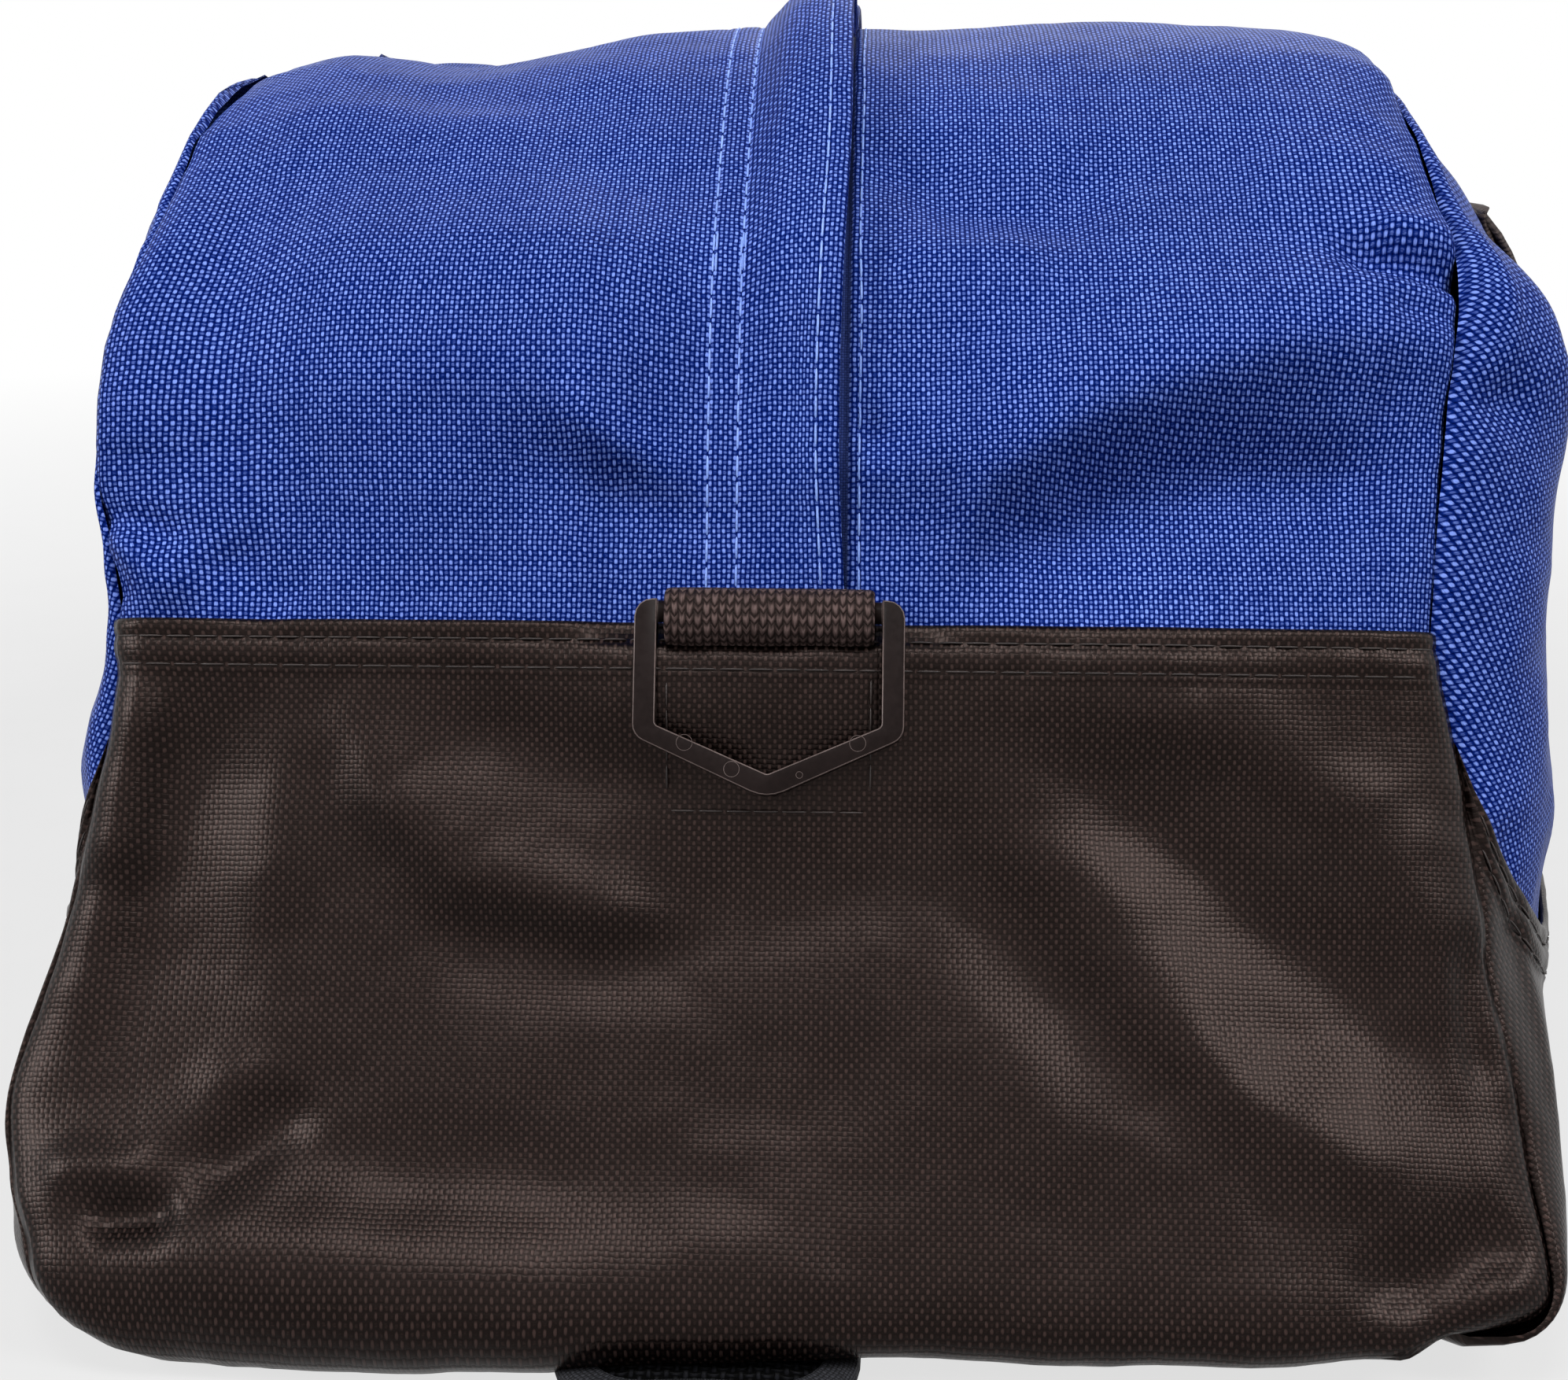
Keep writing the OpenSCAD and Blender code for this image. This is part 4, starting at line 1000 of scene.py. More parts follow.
def blue_band(side):
    inner = LEFT_EDGE if side < 0 else RIGHT_EDGE
    a = spread(UNDER_HEM_A, LINE_END - UNDER_HEM_A, STEP)[:, None]
    _, z, _, _ = line_at(a)
    x = inner + (side * edge_x(side, z) - inner) * spread(0, 1, STEP / 120)[None, :]
    points = band(x, a)
    points = np.concatenate([points, points[:, -1:] + seam_offset(a, side)], 1)
    x = np.concatenate([x, x[:, -1:] + side * SEAM_SINK], 1)
    if side > 0:
        fold_x = RIGHT_EDGE + TURNED_IN[:, 0] + 0 * a
        points = np.concatenate([band(fold_x, a, TURNED_IN[:, 1]), points], 1)
        x = np.concatenate([fold_x, x], 1)
    name = SIDE_NAMES[side]
    obj = add_grid("band_" + name, points, (x, a), BLUE, flip=side < 0)
    return ride(obj, "bag", "blue_cloth", "gusset_" + name)


def side_columns(steps=250):
    """Columns over a side, closer together towards its seams."""
    even = np.linspace(-1, 1, steps)
    return (0.6 * np.sin(even * math.pi / 2) + 0.4 * even)[None, :]


def side_uv(side, w, z):
    return side * w * reach_at(z), z * 1.06


def blue_side(side):
    w = side_columns()
    low = base_top(w) - HEM
    z = low + (HEIGHT - low) * (np.linspace(0, 1, 100) ** 0.9)[:, None]
    name = SIDE_NAMES[side]
    obj = add_grid("side_cloth_" + name, side_cloth(side, w, z), side_uv(side, w, z), BLUE, flip=side < 0)
    return ride(obj, "bag", "blue_cloth", "side_" + name)


# Black cloth

BLACK_LIFT = PANEL + LAP_GAP
SIDE_LIFT = SEAM_GAP + PANEL
# The edge that is turned over at a hem: distance up from the edge, height
FOLD_OVER = np.array([(0.5, -0.25), (0.75, -0.8), (0.5, -1.35), (-1.0, -1.6), (-6.0, -1.6)])
FOLD_LENGTHS = (0.4, 1.2, 1.8, 3.5, 8.0)
# The edge that is turned under at the foot of an end: way into the bag, rise, length along the cloth
FOOT_LIP = ((14, 0.6, 14), (6, 0.0, 6), (1.6, -0.9, 2))
TUCK = 1.6


def hem_relief(along, below):
    """The doubled edge is puffy between its rows of stitches, and they draw it in."""
    rows = sum(bell(below - row, 0.8) for row in HEM_ROWS)
    puff = 0.1 * bell(below - 1.2, 1.2) + 0.25 * bell(below - 5.1, 1.9)
    drawn = noise(along / 4.2, below / 9.0, 71) * bell(below - 6.2, 5.0)
    step = 0.5 * (1 - smoothstep((below - 8.3) / 1.2))
    return puff - 0.35 * rows + 0.42 * drawn + step - 0.5


def black_end(far):
    a = np.concatenate([spread(0.0, SEAM_A - 12, STEP)[:-1], spread(SEAM_A - 12, SEAM_A, 0.6),
                        SEAM_A + FOLD_OVER[:, 0]])[:, None]
    fold_lift = np.concatenate([np.zeros(len(a) - len(FOLD_OVER)), FOLD_OVER[:, 1]])[:, None]
    if far:
        a = LINE_END - a
    inward = LINE_END - a if far else a
    _, z, _, _ = line_at(a)
    left, right = edge_x(-1, z), edge_x(1, z)
    x = (right - left) / 2 + spread(-1, 1, 0.0125)[None, :] * (right + left) / 2
    lift = BLACK_LIFT + fold_lift + hem_relief(x, SEAM_A - inward) * (fold_lift > -1)
    points = band(x, a, lift)
    back = -1 if far else 1
    lip = [points[:1] + [0, back * reach, rise] for reach, rise, _ in FOOT_LIP]
    points = np.concatenate([*lip, points], 0)
    left_tuck = points[:, :1] + [TUCK, back * TUCK, 0]
    right_tuck = points[:, -1:] + [-TUCK, back * TUCK, 0]
    points = np.concatenate([left_tuck, points, right_tuck], 1)
    x = np.concatenate([x[:1]] * len(FOOT_LIP) + [x], 0)
    x = np.concatenate([x[:, :1] - 2, x, x[:, -1:] + 2], 1)
    a = np.concatenate([inward[:1] - length for _, _, length in FOOT_LIP] + [inward], 0)
    name = "rear" if far else "front"
    obj = add_grid("black_end_" + name, points, (x * back, a), BLACK, flip=far)
    return ride(obj, "bag", "black_cloth", "end_base_" + name)


def scoop_rise(w, z):
    return SIDE_LIFT + hem_relief(w * reach_at(z), base_top(w) - z)


def black_side(side):
    rows = np.concatenate([np.linspace(0, 0.86, 52)[:-1], np.linspace(0.86, 1, 26)])
    w = side_columns()
    low, top = side_floor(w), base_top(w)
    z = low + (top - low) * rows[:, None]
    points = side_cloth(side, w, z, scoop_rise(w, z))
    edges = [side_cloth(side, w, top + up, SIDE_LIFT + lift) for up, lift in FOLD_OVER]
    under = points[:1] + [-side * 9.0, 0, 0.4]
    points = np.concatenate([under, points] + edges, 0)
    z = np.concatenate([z[:1] - 9, z] + [top + length for length in FOLD_LENGTHS], 0)
    name = SIDE_NAMES[side]
    obj = add_grid("side_base_cloth_" + name, points, side_uv(side, w, z), BLACK, flip=side < 0)
    return ride(obj, "bag", "black_cloth", "side_base_" + name)


def bottom_cloth():
    """The bottom panel, arched over the strap that lies under it."""
    inset, channel_half = 2, WEBBING_W * 1.35
    half_y = HALF * END_SHARES[0][1] - inset
    left, right = [side * SEAM_WIDTH[side] * EDGE_SHARES[0][1] - side * inset for side in (-1, 1)]
    x, y = spread(left, right, 2.4)[None, :], spread(-half_y, half_y, 2.4)[:, None]
    channel = np.clip(np.minimum(x + PAD_X + channel_half, channel_half - x) / (END_LIFT * 1.5), 0, 1)
    ends = np.clip((np.abs(y) / half_y - 0.8) / 0.2, 0, 1)
    uneven = 0.25 * (1 + noise(x / 26, y / 26, 81))
    level = END_LIFT * np.maximum(smoothstep(channel), smoothstep(ends)) + uneven
    points = np.stack(np.broadcast_arrays(x, y, level), -1)
    obj = add_grid("bottom_cloth", points, (x, y), BLACK, flip=True)
    return ride(obj, "bag", "black_cloth", "bottom_panel")


# Storm flap and zip

FLAP_START = SEAM_A + 0.8
FLAP_GAPE_A = SEAM_A + 38
FLAP_LOW = 2.4
# Along the flap's width: share of its rise, and height of its layers
flap_share = Smooth([(-14.8, 0), (-6.6, 0), (-5.4, 0.1), (-3, 0.32), (-0.5, 0.58), (2.5, 0.78), (6, 0.9),
                     (9, 0.97), (13.7, 1)])
flap_base = Smooth([(-14.8, -0.35), (-12.9, 0.35), (-12.1, 0.2), (-10.8, 0.6), (-8, 0.6), (-6.6, 0.15),
                    (-5.2, 0.8), (-3, 1.2), (0, 1.4), (8.6, 1.45), (9.4, 1.15), (10.3, 1.45), (12.6, 1.4),
                    (13.4, 1.1), (13.7, 0.5)])
# Under the flap from its free edge: x, height, length round the edge
FLAP_UNDER = np.array([(13.55, -0.4, 0.9), (13.0, -1.75, 1.8), (10.0, -1.95, 4.6), (5.0, -1.9, 9.6),
                       (1.0, -1.7, 13.6), (-3.0, -1.3, 17.6)])
TEETH_PITCH = 1.6
TAPE_WIDTH = 15.0


def flap_rise(a):
    _, z, _, _ = line_at(a)
    _, near, _ = mirrored(0.0, a)
    rise = FLAP_LOW + (FLAP_RISE - FLAP_LOW) * smoothstep((z / HEIGHT - 0.7) / 0.3)
    return rise * (0.25 + 0.75 * smoothstep((near - FLAP_START) / 30)) + 0.35 * noise(a / 17.0, 0.2, 41)


def flap_surface(x, a, lift=0.0):
    _, near, far = mirrored(0.0, a)
    gape = np.where(far, 0.5, 1.5) * bell(near - FLAP_GAPE_A, 34.0)
    sway = (0.6 * noise(a / 34.0, 0.4, 43) + gape) * smoothstep((x - 2) / 8)
    return band(x - sway, a, flap_share(x) * flap_rise(a) + flap_base(x) + lift, tented=True)


def storm_flap():
    a = spread(FLAP_START, LINE_END - FLAP_START, 1.5)[:, None]
    x = np.concatenate([np.linspace(-14.8, -4.8, 15), np.linspace(-4.0, 8.0, 11), np.linspace(8.6, 13.0, 9),
                        [13.4, 13.65, 13.7]])
    under_x, under_lift, round_edge = FLAP_UNDER.T
    points = np.concatenate([flap_surface(x[None, :], a), flap_surface(under_x[None, :], a, under_lift)], 1)
    u = np.concatenate([x, x[-1] + round_edge])[None, :]
    obj = add_grid("storm_flap", points, (u, a), BLUE)
    return ride(obj, "bag", "blue_cloth", "zip_flap")


def flap_row(x, a):
    return flap_surface(x, a, 0.06), surface_normal(flap_surface, x, a, 0.5, 0.8)


def zip_tape(name, x0, x1):
    a = spread(SEAM_A, LINE_END - SEAM_A, 3.0)[:, None]
    x = np.linspace(x0, x1, 6)[None, :]
    obj = add_grid("tape_cloth_" + name, band(x, a, TAPE_TOP), (x, a), TAPE)
    return ride(obj, "bag", "zip_cloth", "zip_tape_" + name)


def zip_teeth():
    """Coil teeth of both sides, interlocked."""
    a = np.arange(SEAM_A + 2, LINE_END - SEAM_A - 2, TEETH_PITCH)
    start, end = [np.vstack([band(ZIP_X + side * reach + 0 * a, a + shift, TAPE_TOP + rise)
                             for side, shift in ((-1, 0.0), (1, TEETH_PITCH / 2))])
                  for reach, rise in ((2.7, 0.9), (-0.7, 1.1))]
    up = np.vstack([band_normal(ZIP_X + 0 * a, a)] * 2)
    obj = add_object("coil_teeth", *capsules(start, end, up, 0.62), COIL)
    return ride(obj, "bag", "zip_coil", "zip_coil")


# Webbing

# A strap's section: place in half widths, half thickness
SECTION = np.array([(-1, 0.3), (-0.985, 0.75), (-0.94, 0.92), (-0.7, 1), (-0.35, 1), (0, 1), (0.35, 1),
                    (0.7, 1), (0.94, 0.92), (0.985, 0.75), (1, 0.3)])


def webbing(name, path, place, material, wave=0.0, seed=0):
    """A flat strap along a line in a Y-Z plane, set in place by a function of points."""
    path = np.asarray(path, float)
    steps = arc_steps(path)
    normal = path_normals(path, steps)
    share, half = SECTION[:, 0], SECTION[:, 1] * WEBBING_T / 2
    x = np.concatenate([share, share[::-1]]) * WEBBING_W / 2
    h = np.concatenate([half, -half[::-1]])
    drift = wave * noise(steps[:, None] / 16.0, x[None, :] / 30.0, seed)
    yz = path[:, None, :] + normal[:, None, :] * (h[None, :] + drift)[..., None]
    points = np.concatenate([np.broadcast_to(x[None, :, None], yz.shape[:2] + (1,)), yz], -1)
    return add_skin(name, place(points), (x[None, :], steps[:, None]), material)


# Ring tabs and rings: Y runs into the bag and Z up the sloping end

TAB_PATH = [(5.9, -8.5), (5.8, -3.5), (5.0, 0.5), (3.1, 3.0), (0.0, 3.6), (-2.7, 2.4), (-3.7, -0.4),
            (-3.0, -3.3), (-0.8, -4.8), (2.6, -5.4), (5.2, -6.6)]


def cad_reach(z):
    shares = np.array(END_SHARES)
    return HALF * np.interp(z / HEIGHT, shares[:, 0], shares[:, 1])


def slope_down(z0, z1):
    return math.atan((cad_reach(z1) - cad_reach(z0)) / (z0 - z1))


SLOPE = max(slope_down(COLOUR_SEAM + HEM, COLOUR_SEAM), slope_down(COLOUR_SEAM, COLOUR_SEAM - RING_DROP))
TAB_H = COLOUR_SEAM + RING_BAR / 2
ROLL_R = RING_BAR / 2 + SEAM_GAP + WEBBING_T + LAP_GAP
TAB_STAND = LAP_GAP + PANEL + LAP_GAP + ROLL_R
RING_AXIS = np.array([0.0, -cad_reach(TAB_H) - TAB_STAND * math.cos(SLOPE),
                      TAB_H + TAB_STAND * math.sin(SLOPE)])
# Ejector marks of a ring: across, down from its bar, radius
MARKS = ((-15.0, 24.0, 1.45), (16.2, 23.8, 1.45), (-6.4, 28.7, 1.4), (5.8, 29.6, 0.6))
MARK_STEPS, MARK_SIDES = 28, 6


def on_end(back):
    """Sets points of the sloping end's own frame in place, at the near end or, with -1, at the far one."""
    def place(p):
        y = RING_AXIS[1] + p[..., 1] * math.cos(SLOPE) + p[..., 2] * math.sin(SLOPE)
        z = RING_AXIS[2] - p[..., 1] * math.sin(SLOPE) + p[..., 2] * math.cos(SLOPE)
        return np.stack([p[..., 0], y * back, z], -1)
    return place


def ring_marks(place):
    """Points and faces of thin raised circles."""
    big, small = [np.linspace(0, 2 * math.pi, count, endpoint=False) for count in (MARK_STEPS, MARK_SIDES)]
    i, j = np.meshgrid(np.arange(MARK_STEPS), np.arange(MARK_SIDES), indexing="ij")
    next_i, next_j = (i + 1) % MARK_STEPS, (j + 1) % MARK_SIDES
    corners = ((i, j), (i, next_j), (next_i, next_j), (next_i, j))
    one = np.stack([p * MARK_SIDES + q for p, q in corners], -1).reshape(-1, 4)
    points, faces = [], []
    for k, (across, down, radius) in enumerate(MARKS):
        r = radius + 0.05 * np.cos(small)[None, :]
        ring = np.stack(np.broadcast_arrays(across + r * np.cos(big)[:, None],
                                            -RING_T / 2 - 0.03 * np.sin(small)[None, :],
                                            -down + r * np.sin(big)[:, None]), -1)
        points.append(place(ring).reshape(-1, 3))
        faces.append(one + k * i.size)
    return np.vstack(points), np.vstack(faces).tolist()


def ring_and_tab(name, back):
    place = on_end(back)
    tab = webbing("tab_webbing_" + name, catmull(TAB_PATH, 5), place, TAB, wave=0.35, seed=91)
    ride(tab, "bag", "tab_webbing", "ring_tab_" + name)
    # The ring's bevel faces take the pale material: painted highlight on its edges
    bevelled("d_ring_" + name, RING_PLASTIC, "ring_plastic", "d_ring_" + name, width=0.22,
             edge_material=RING_EDGE_HIGHLIGHT)
    # The ejector rims take the pale material too: painted highlight on their outlines
    obj = add_object("ring_marks_" + name, *ring_marks(place), RING_EDGE_HIGHLIGHT)
    ride(obj, "d_ring_" + name, "ring_plastic")


# Handles

ANCHOR_FOOT = SCOOP_TOP - SCOOP_R + SEAM_GAP
ANCHOR_LIFT = 1.8
LOOP_LIFT = ANCHOR_LIFT + WEBBING_T + 0.3
LEG_SHARE, SWEEP_POWER = 0.42, 0.7


def slab(side, y, z, low, high):
    """Rings of a strap that lies on a side, from the places of its columns and its two lifts."""
    top, bottom = side_cloth(side, y / reach_at(z), z, high), side_cloth(side, y / reach_at(z), z, low)
    return np.concatenate([top, bottom[:, ::-1]], 1)


ACROSS = np.array([-1, -0.97, -0.85, -0.5, 0, 0.5, 0.85, 0.97, 1]) / 2
ROUNDING = np.array([0.5, 0.12, 0, 0, 0, 0, 0, 0.12, 0.5])


def anchor(side, end):
    fold = HEIGHT - FOLD_DROP[side]
    z = np.concatenate([spread(ANCHOR_FOOT, fold - 2, 3.0), [fold + 0.5, fold + 2.2, fold + 2.8]])[:, None]
    curl = np.concatenate([np.zeros(len(z) - 3), [0.2, 0.7, 1.5]])[:, None]
    y = end * HANDLE_Y + ACROSS[None, :] * WEBBING_W + 0 * z
    thin = ROUNDING[None, :] * WEBBING_T
    rings = slab(side, y, z + 0 * y, ANCHOR_LIFT - WEBBING_T + curl + thin, ANCHOR_LIFT + curl - thin)
    x = np.concatenate([ACROSS, ACROSS[::-1]]) * WEBBING_W
    name = f"{SIDE_NAMES[side]}_{'front' if end < 0 else 'rear'}"
    obj = add_skin("anchor_webbing_" + name, rings, (x[None, :], z), HANDLE)
    ride(obj, "bag", "handle_webbing", "handle_anchor_" + name)


def anchor_rows(side, end):
    """Stitches that hold a handle's end: both edges, and a box with a cross at the foot."""
    middle, edge = end * HANDLE_Y, WEBBING_W / 2 - 2.5
    low, fold = ANCHOR_FOOT + 3, HEIGHT - FOLD_DROP[side]
    rows = []
    for line in crossed_box(middle - edge, middle + edge, low, low + WEBBING_W, fold - 8):
        y, z = straight(*line)
        rows.append(side_row(side, y / reach_at(z), z, ANCHOR_LIFT + 0.05))
    return rows


def loop_line(side):
    z0 = HEIGHT - FOLD_DROP[side]
    z1, sweep = z0 - LEG_SHARE * HANDLE_DROP, (1 - LEG_SHARE) * HANDLE_DROP
    leg = [(HANDLE_Y, z) for z in spread(z0, z1, 4.0)[:-1]]
    turn = np.linspace(0, math.pi / 2, 30)
    curve = [(HANDLE_Y * math.cos(t) ** SWEEP_POWER, z1 - sweep * math.sin(t) ** SWEEP_POWER)
             for t in turn[:-1]]
    half = leg + curve
    return np.array(half + [(0.0, z0 - HANDLE_DROP)] + [(-y, z) for y, z in half[::-1]])


def handle(side):
    line = loop_line(side)
    steps = arc_steps(line)
    even = spread(0, steps[-1], 3.0)
    line = resample(line, steps, even)
    normal = path_normals(line, even)
    grip = smoothstep((0.93 - np.abs(line[:, 0]) / HANDLE_Y) / 0.14)
    width = (WEBBING_W + (GRIP_W - WEBBING_W) * grip)[:, None]
    thick = (WEBBING_T + (GRIP_T - WEBBING_T) * grip)[:, None]
    columns = line[:, None, :] + normal[:, None, :] * (ACROSS[None, :] * width)[..., None]
    at_end = bell(np.minimum(even, even[-1] - even)[:, None], 2.5)
    curl = -2.0 * at_end
    thin = ROUNDING[None, :] * thick
    wave = 0.5 * noise(even[:, None] / 22.0, ACROSS[None, :], 95)
    base = LOOP_LIFT - WEBBING_T
    rings = slab(side, columns[..., 0], columns[..., 1] + 2.5 * at_end, base + curl + thin + wave,
                 base + thick + curl - thin + wave)
    x = np.concatenate([ACROSS, ACROSS[::-1]])[None, :] * width
    name = SIDE_NAMES[side]
    obj = add_skin("handle_loop_" + name, rings, (x, even[:, None]), HANDLE)
    ride(obj, "handle_" + name, "handle_webbing", "handle_" + name)
    rows = []
    for edge in (-1, 1):
        y, z = (line + normal * (edge * (GRIP_W / 2 - 3)))[grip > 0.9].T
        rows.append(side_row(side, y / reach_at(z), z, base + GRIP_T + 0.05))
    add_stitches("grip_stitches_" + name, rows, BLACK_THREAD, "handle_" + name)


# Shoulder strap: its pad, its two ends of webbing, and their hooks

PAD_TIP = -HALF - PAD_REACH
PAD_Z = WEBBING_T + 2 * LAP_GAP
SPLAY_LOWER, SPLAY_UPPER = math.radians(4.2), math.radians(4.5)
EYE_R = WEBBING_T
TURN_R = EYE_R + SEAM_GAP + WEBBING_T / 2
EYE_Y = HALF + WEBBING_W * 0.7
EYE_Z = TURN_R + WEBBING_T / 2 + SEAM_GAP + LAP_GAP
UPPER_Y = PAD_TIP + PAD_LENGTH + SEAM_GAP + WEBBING_W / 2 * math.sin(SPLAY_UPPER)
# Over half the pad from its edge: share of the way in, share of its thickness
PAD_SECTION = np.array([(0, 0.5), (0.02, 0.72), (0.06, 0.86), (0.13, 0.9), (0.22, 0.84), (0.26, 0.72),
                        (0.32, 0.86), (0.5, 0.96), (0.75, 1.0), (1.0, 1.0)])
OUTLINE_STEP = 3.0
BINDING_REACH, BINDING_TURN = 6.8, 115


def rounded_box(width, y0, y1, r, steps=8):
    points = []
    half = width / 2 - r
    for k, (cx, cy) in enumerate(((half, y1 - r), (-half, y1 - r), (-half, y0 + r), (half, y0 + r))):
        turn = np.radians(90 * k + np.linspace(0, 90, steps))
        points += [(cx + r * math.cos(t), cy + r * math.sin(t)) for t in turn]
    line = np.array(points + points[:1])
    distance = arc_steps(line)
    return resample(line, distance, np.arange(0, distance[-1] - 1, OUTLINE_STEP))


def pad_rings(flat, z):
    """Points over the pad's outline, closed round it and set in place."""
    heights = np.broadcast_to(z, flat.shape[:2])[..., None]
    rings = np.concatenate([flat, heights], -1) + [-PAD_X, PAD_TIP, PAD_Z]
    return np.concatenate([rings, rings[:1]], 0)


def shoulder_pad():
    edge = rounded_box(PAD_W - 1, 0.5, PAD_LENGTH - 0.5, PAD_W / 4)
    middle = np.stack([0 * edge[:, 0], np.clip(edge[:, 1], PAD_W / 2, PAD_LENGTH - PAD_W / 2)], -1)
    share, height = PAD_SECTION[:, 0], PAD_SECTION[:, 1] * PAD_T
    half = edge[:, None] + (middle - edge)[:, None] * share[None, :, None]
    heights = np.concatenate([(PAD_T - height)[::-1], height])
    rings = pad_rings(np.concatenate([half[:, ::-1], half], 1), heights)
    obj = add_grid("pad_mesh_cloth", rings, (rings[..., 0], rings[..., 1]), MESH)
    ride(obj, "bag", "pad_mesh", "strap_pad")
    turn = np.radians(np.linspace(-BINDING_TURN, BINDING_TURN, 9))
    reach = BINDING_REACH * (1 - np.cos(turn)) / 1.42
    flat = edge[:, None] + unit_rows(middle - edge)[:, None] * reach[None, :, None]
    rings = pad_rings(flat, PAD_T / 2 + np.clip(np.sin(turn) * 1.6, -1, 1) * (PAD_T / 2 - 0.02))
    around = (np.arange(len(rings)) * OUTLINE_STEP)[:, None]
    across = np.linspace(-7, 7, len(turn))[None, :]
    obj = add_grid("pad_binding", rings, (across, around), BINDING, flip=True)
    ride(obj, "bag", "pad_mesh")


def lie(angle, y0):
    """Turns points about the vertical through the middle of the pad at one of its ends."""
    def place(p):
        x, y = p[..., 0], p[..., 1] - y0
        return np.stack([-PAD_X + x * math.cos(angle) - y * math.sin(angle),
                         y0 + x * math.sin(angle) + y * math.cos(angle), p[..., 2]], -1)
    return place


def strap_end():
    """The end of a run of webbing: round the hook's eye and back over itself."""
    low, back = WEBBING_T / 2, WEBBING_T * 1.5 + LAP_GAP
    turn = np.radians(np.linspace(0, 210, 22))
    rounded = [(EYE_Y + TURN_R * math.sin(t), EYE_Z - TURN_R * math.cos(t)) for t in turn]
    ease = [(EYE_Y - TURN_R * k, low + (EYE_Z - TURN_R - low) * s) for k, s in ((2.2, 0.2), (1.2, 0.75))]
    return ([(EYE_Y - WEBBING_W, low), (EYE_Y - TURN_R * 3, low)] + ease + rounded
            + [(EYE_Y - TURN_R * 3.5, back), (EYE_Y - WEBBING_W, back)])


def dense(path, step=3.0):
    path = np.array(path, float)
    steps = arc_steps(path)
    places = np.unique(np.concatenate([steps, spread(0, steps[-1], step)]))
    return resample(path, steps, places[np.concatenate([[True], np.diff(places) > 0.2])])


def strap():
    low = WEBBING_T / 2
    middle = (low + PAD_Z + PAD_T / 2) / 2
    fold_y = PAD_TIP - SEAM_GAP - WEBBING_W / 2 * math.sin(SPLAY_LOWER)
    turn = np.linspace(0, math.pi, 10)
    fold = [(fold_y - (middle - low) * math.sin(t), middle + (middle - low) * math.cos(t)) for t in turn]
    flat = [(UPPER_Y, PAD_Z + low), (EYE_Y - WEBBING_W * 3, PAD_Z + low)]
    edge, foot, head = WEBBING_W / 2 - 3, EYE_Y - WEBBING_W + 2, EYE_Y - TURN_R * 3.6
    runs = (("lower", fold, lie(-SPLAY_LOWER, PAD_TIP)), ("upper", flat, lie(SPLAY_UPPER, UPPER_Y)))
    rows = []
    for name, start, place in runs:
        obj = webbing("strap_webbing_" + name, dense(start + strap_end()), place, STRAP)
        ride(obj, "bag", "strap_webbing", "strap_" + name)
        for line in crossed_box(-edge, edge, foot, head, head):
            path = dense(line)
            top = np.full((len(path), 1), WEBBING_T * 2 + LAP_GAP + 0.05)
            points = place(np.concatenate([path, top], 1))
            rows.append((points, np.broadcast_to([0.0, 0.0, 1.0], points.shape)))
    add_stitches("strap_stitches", rows, BLACK_THREAD)
    for end in ("a", "b"):
        bevelled("hook_eye_" + end, HOOK_PLASTIC, "hook_plastic", "bag", width=0.5)
        bevelled("snap_hook_" + end, HOOK_PLASTIC, "hook_plastic", "snap_hook_" + end, width=0.6)
        bevelled("hook_gate_" + end, STEEL, "gate_steel", "hook_gate_" + end, width=0.3)


# Rows of stitches

# The flap's rows by x, and where two of them were sewn over again, by x and arc length
FLAP_ROWS, KNOT_ROWS, KNOT_SPAN = (-12.1, -6.6, 9.4), (-11.5, -6.1, -6.9), (SEAM_A + 66, SEAM_A + 77)


def blue_stitches():
    a = spread(SEAM_A + 1.5, LINE_END - SEAM_A - 1.5, 1.5)
    rows = [flap_row(x + 0 * a, a) for x in FLAP_ROWS]
    rows.append(band_row(RIGHT_EDGE + 1.5 + 0.35 * noise(a / 20.0, 0.1, 97), a))
    knot = spread(*KNOT_SPAN, 1.5)
    rows += [flap_row(x + 0 * knot, knot) for x in KNOT_ROWS]
    add_stitches("blue_stitches", rows, BLUE_THREAD)


def black_stitches():
    rows = []
    x = spread(-SEAM_WIDTH[-1] + 1, SEAM_WIDTH[1] - 1, 1.5)
    half, foot = WEBBING_W / 2 - 0.5, 34.0
    # The tab's tails are sewn down in a box behind the cloth: x, distance below the seam
    box = [((-half, 9), (-half, foot)), ((half, 9), (half, foot)), ((-half, foot), (half, foot))]
    for far in (False, True):
        for below in HEM_ROWS:
            a = np.full(x.shape, SEAM_A - below)
            rows.append(band_row(x, LINE_END - a if far else a, BLACK_LIFT + hem_relief(x, below) + 0.25))
        for line in box:
            across, down = straight(*line)
            a = LINE_END - SEAM_A + down if far else SEAM_A - down
            rows.append(band_row(across, a, BLACK_LIFT + 0.02))
    for side in (-1, 1):
        w = np.linspace(-0.995, 0.995, 260)
        for below in HEM_ROWS:
            z = base_top(w) - below
            rows.append(side_row(side, w, z, scoop_rise(w, z) + 0.25))
    add_stitches("black_stitches", rows, BLACK_THREAD, radius=0.22)


def webbing_stitches():
    rows = [row for side in (-1, 1) for end in (-1, 1) for row in anchor_rows(side, end)]
    add_stitches("anchor_stitches", rows, BLACK_THREAD, radius=0.26)


# Surroundings

AMBIENT = 0.06
# Lamps: place in metres, size, watts
LAMPS = {"key": ((0.95, -0.85, 1.3), 0.5, 15), "top": ((-0.12, -0.7, 1.5), 0.5, 11),
         "front": ((-0.2, -1.7, 1.0), 1.6, 4), "left": ((-1.35, -0.75, 0.9), 0.6, 17),
         "right": ((1.5, -0.2, 0.8), 0.9, 3), "back": ((0.3, 1.4, 1.2), 0.9, 6)}


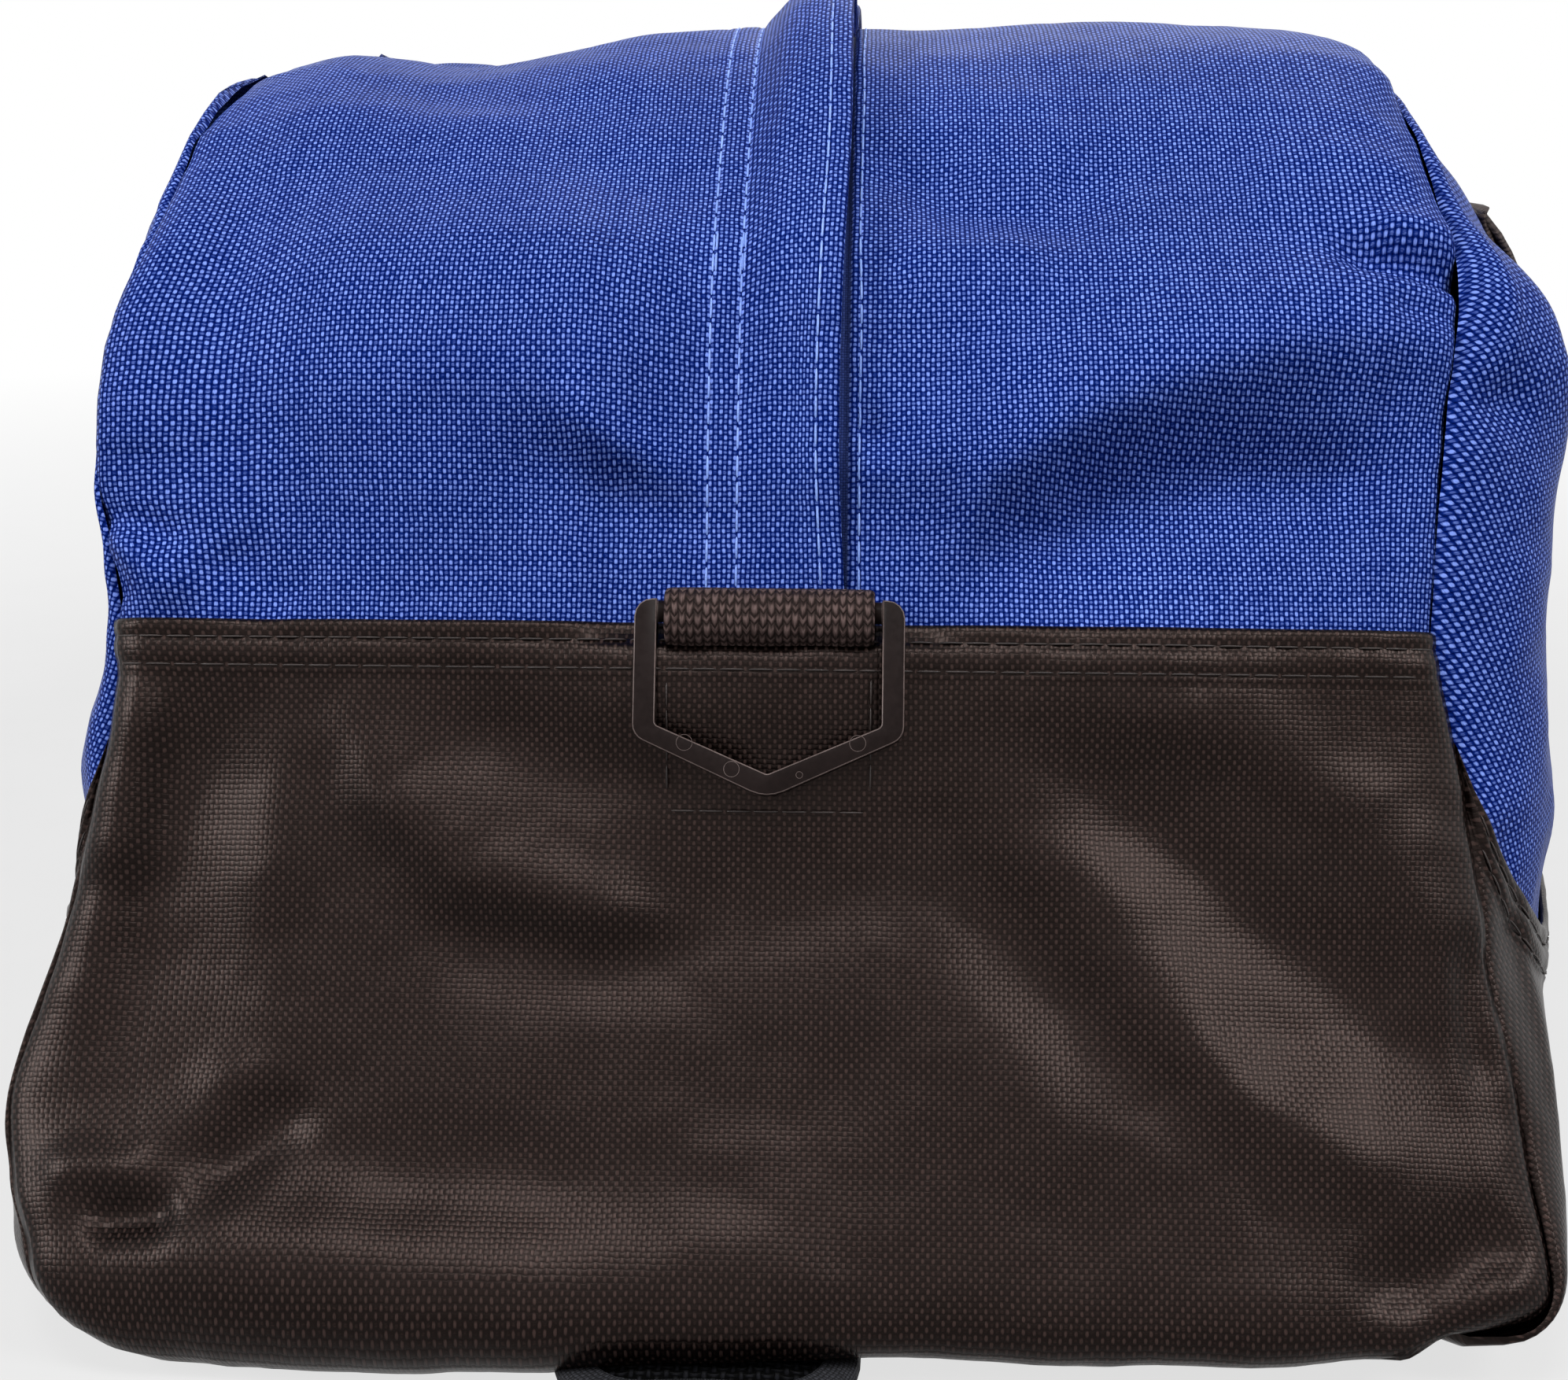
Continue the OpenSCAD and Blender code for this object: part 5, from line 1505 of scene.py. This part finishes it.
def floor():
    size, mesh = 6.0, bpy.data.meshes.new("floor")
    corners = [(-size, -size, 0), (size, -size, 0), (size, size, 0), (-size, size, 0)]
    mesh.from_pydata(corners, [], [(0, 1, 2, 3)])
    n = Nodes(bpy.data.materials.new("pale_floor"))
    where = n.place()
    length = n.add("ShaderNodeVectorMath", where, operation="LENGTH").outputs["Value"]
    tone = n.remap(n.noise(where, 40.0).outputs[0], 0.3, 0.7, 0, 1)
    n.put(n.shader.inputs["Base Color"], n.mix(tone, rgba((0.3,) * 3), rgba((0.33,) * 3)))
    n.shader.inputs["Roughness"].default_value = 0.9
    glow = n.add("ShaderNodeEmission", (1, 1, 1, 1), 1.0)
    share = n.math("MULTIPLY", n.background_rays(), n.remap(length, 0.3, 1.0, 0.72, 1.0))
    blend = n.add("ShaderNodeMixShader", share, n.shader.outputs[0], glow.outputs[0])
    output = next(x for x in n.tree.nodes if x.type == "OUTPUT_MATERIAL")
    n.put(output.inputs[0], blend.outputs[0])
    mesh.materials.append(n.owner)
    obj = add_to_scene("floor", mesh)


def surround():
    """White to the camera and in reflections, a weak soft light to everything else."""
    world = bpy.data.worlds.new("studio")
    bpy.context.scene.world = world
    n = Nodes(world, "Background")
    n.put(n.shader.inputs["Color"], (1, 1, 1, 1))
    n.put(n.shader.inputs["Strength"], n.remap(n.background_rays(), 0.0, 1.0, AMBIENT, 1.0))


def lamps():
    aim = Vector((0, 0, 0.1))
    for name, (place, size, power) in LAMPS.items():
        data = bpy.data.lights.new(name, "AREA")
        data.size = size
        data.energy = power
        turn = (aim - Vector(place)).to_track_quat("-Z", "Y").to_matrix().to_4x4()
        add_to_scene(name, data).matrix_world = Matrix.Translation(Vector(place)) @ turn


for side in (-1, 1):
    blue_band(side)
    blue_side(side)
    black_side(side)
    handle(side)
    for end in (-1, 1):
        anchor(side, end)
black_end(False)
black_end(True)
bottom_cloth()
bevelled("base_board", BOARD, "board", "bag", width=0.5)
storm_flap()
zip_tape("left", ZIP_X - TAPE_WIDTH, ZIP_X - LAP_GAP)
zip_tape("right", ZIP_X + LAP_GAP, ZIP_X + TAPE_WIDTH)
zip_teeth()
bevelled("zip_slider", STEEL, "zip_metal", "zip_slider", width=0.25)
bevelled("zip_pull", STEEL, "zip_metal", "zip_pull", width=0.3)
ring_and_tab("front", 1)
ring_and_tab("rear", -1)
shoulder_pad()
strap()
blue_stitches()
black_stitches()
webbing_stitches()
floor()
surround()
lamps()
bpy.context.scene.view_settings.view_transform = "Standard"
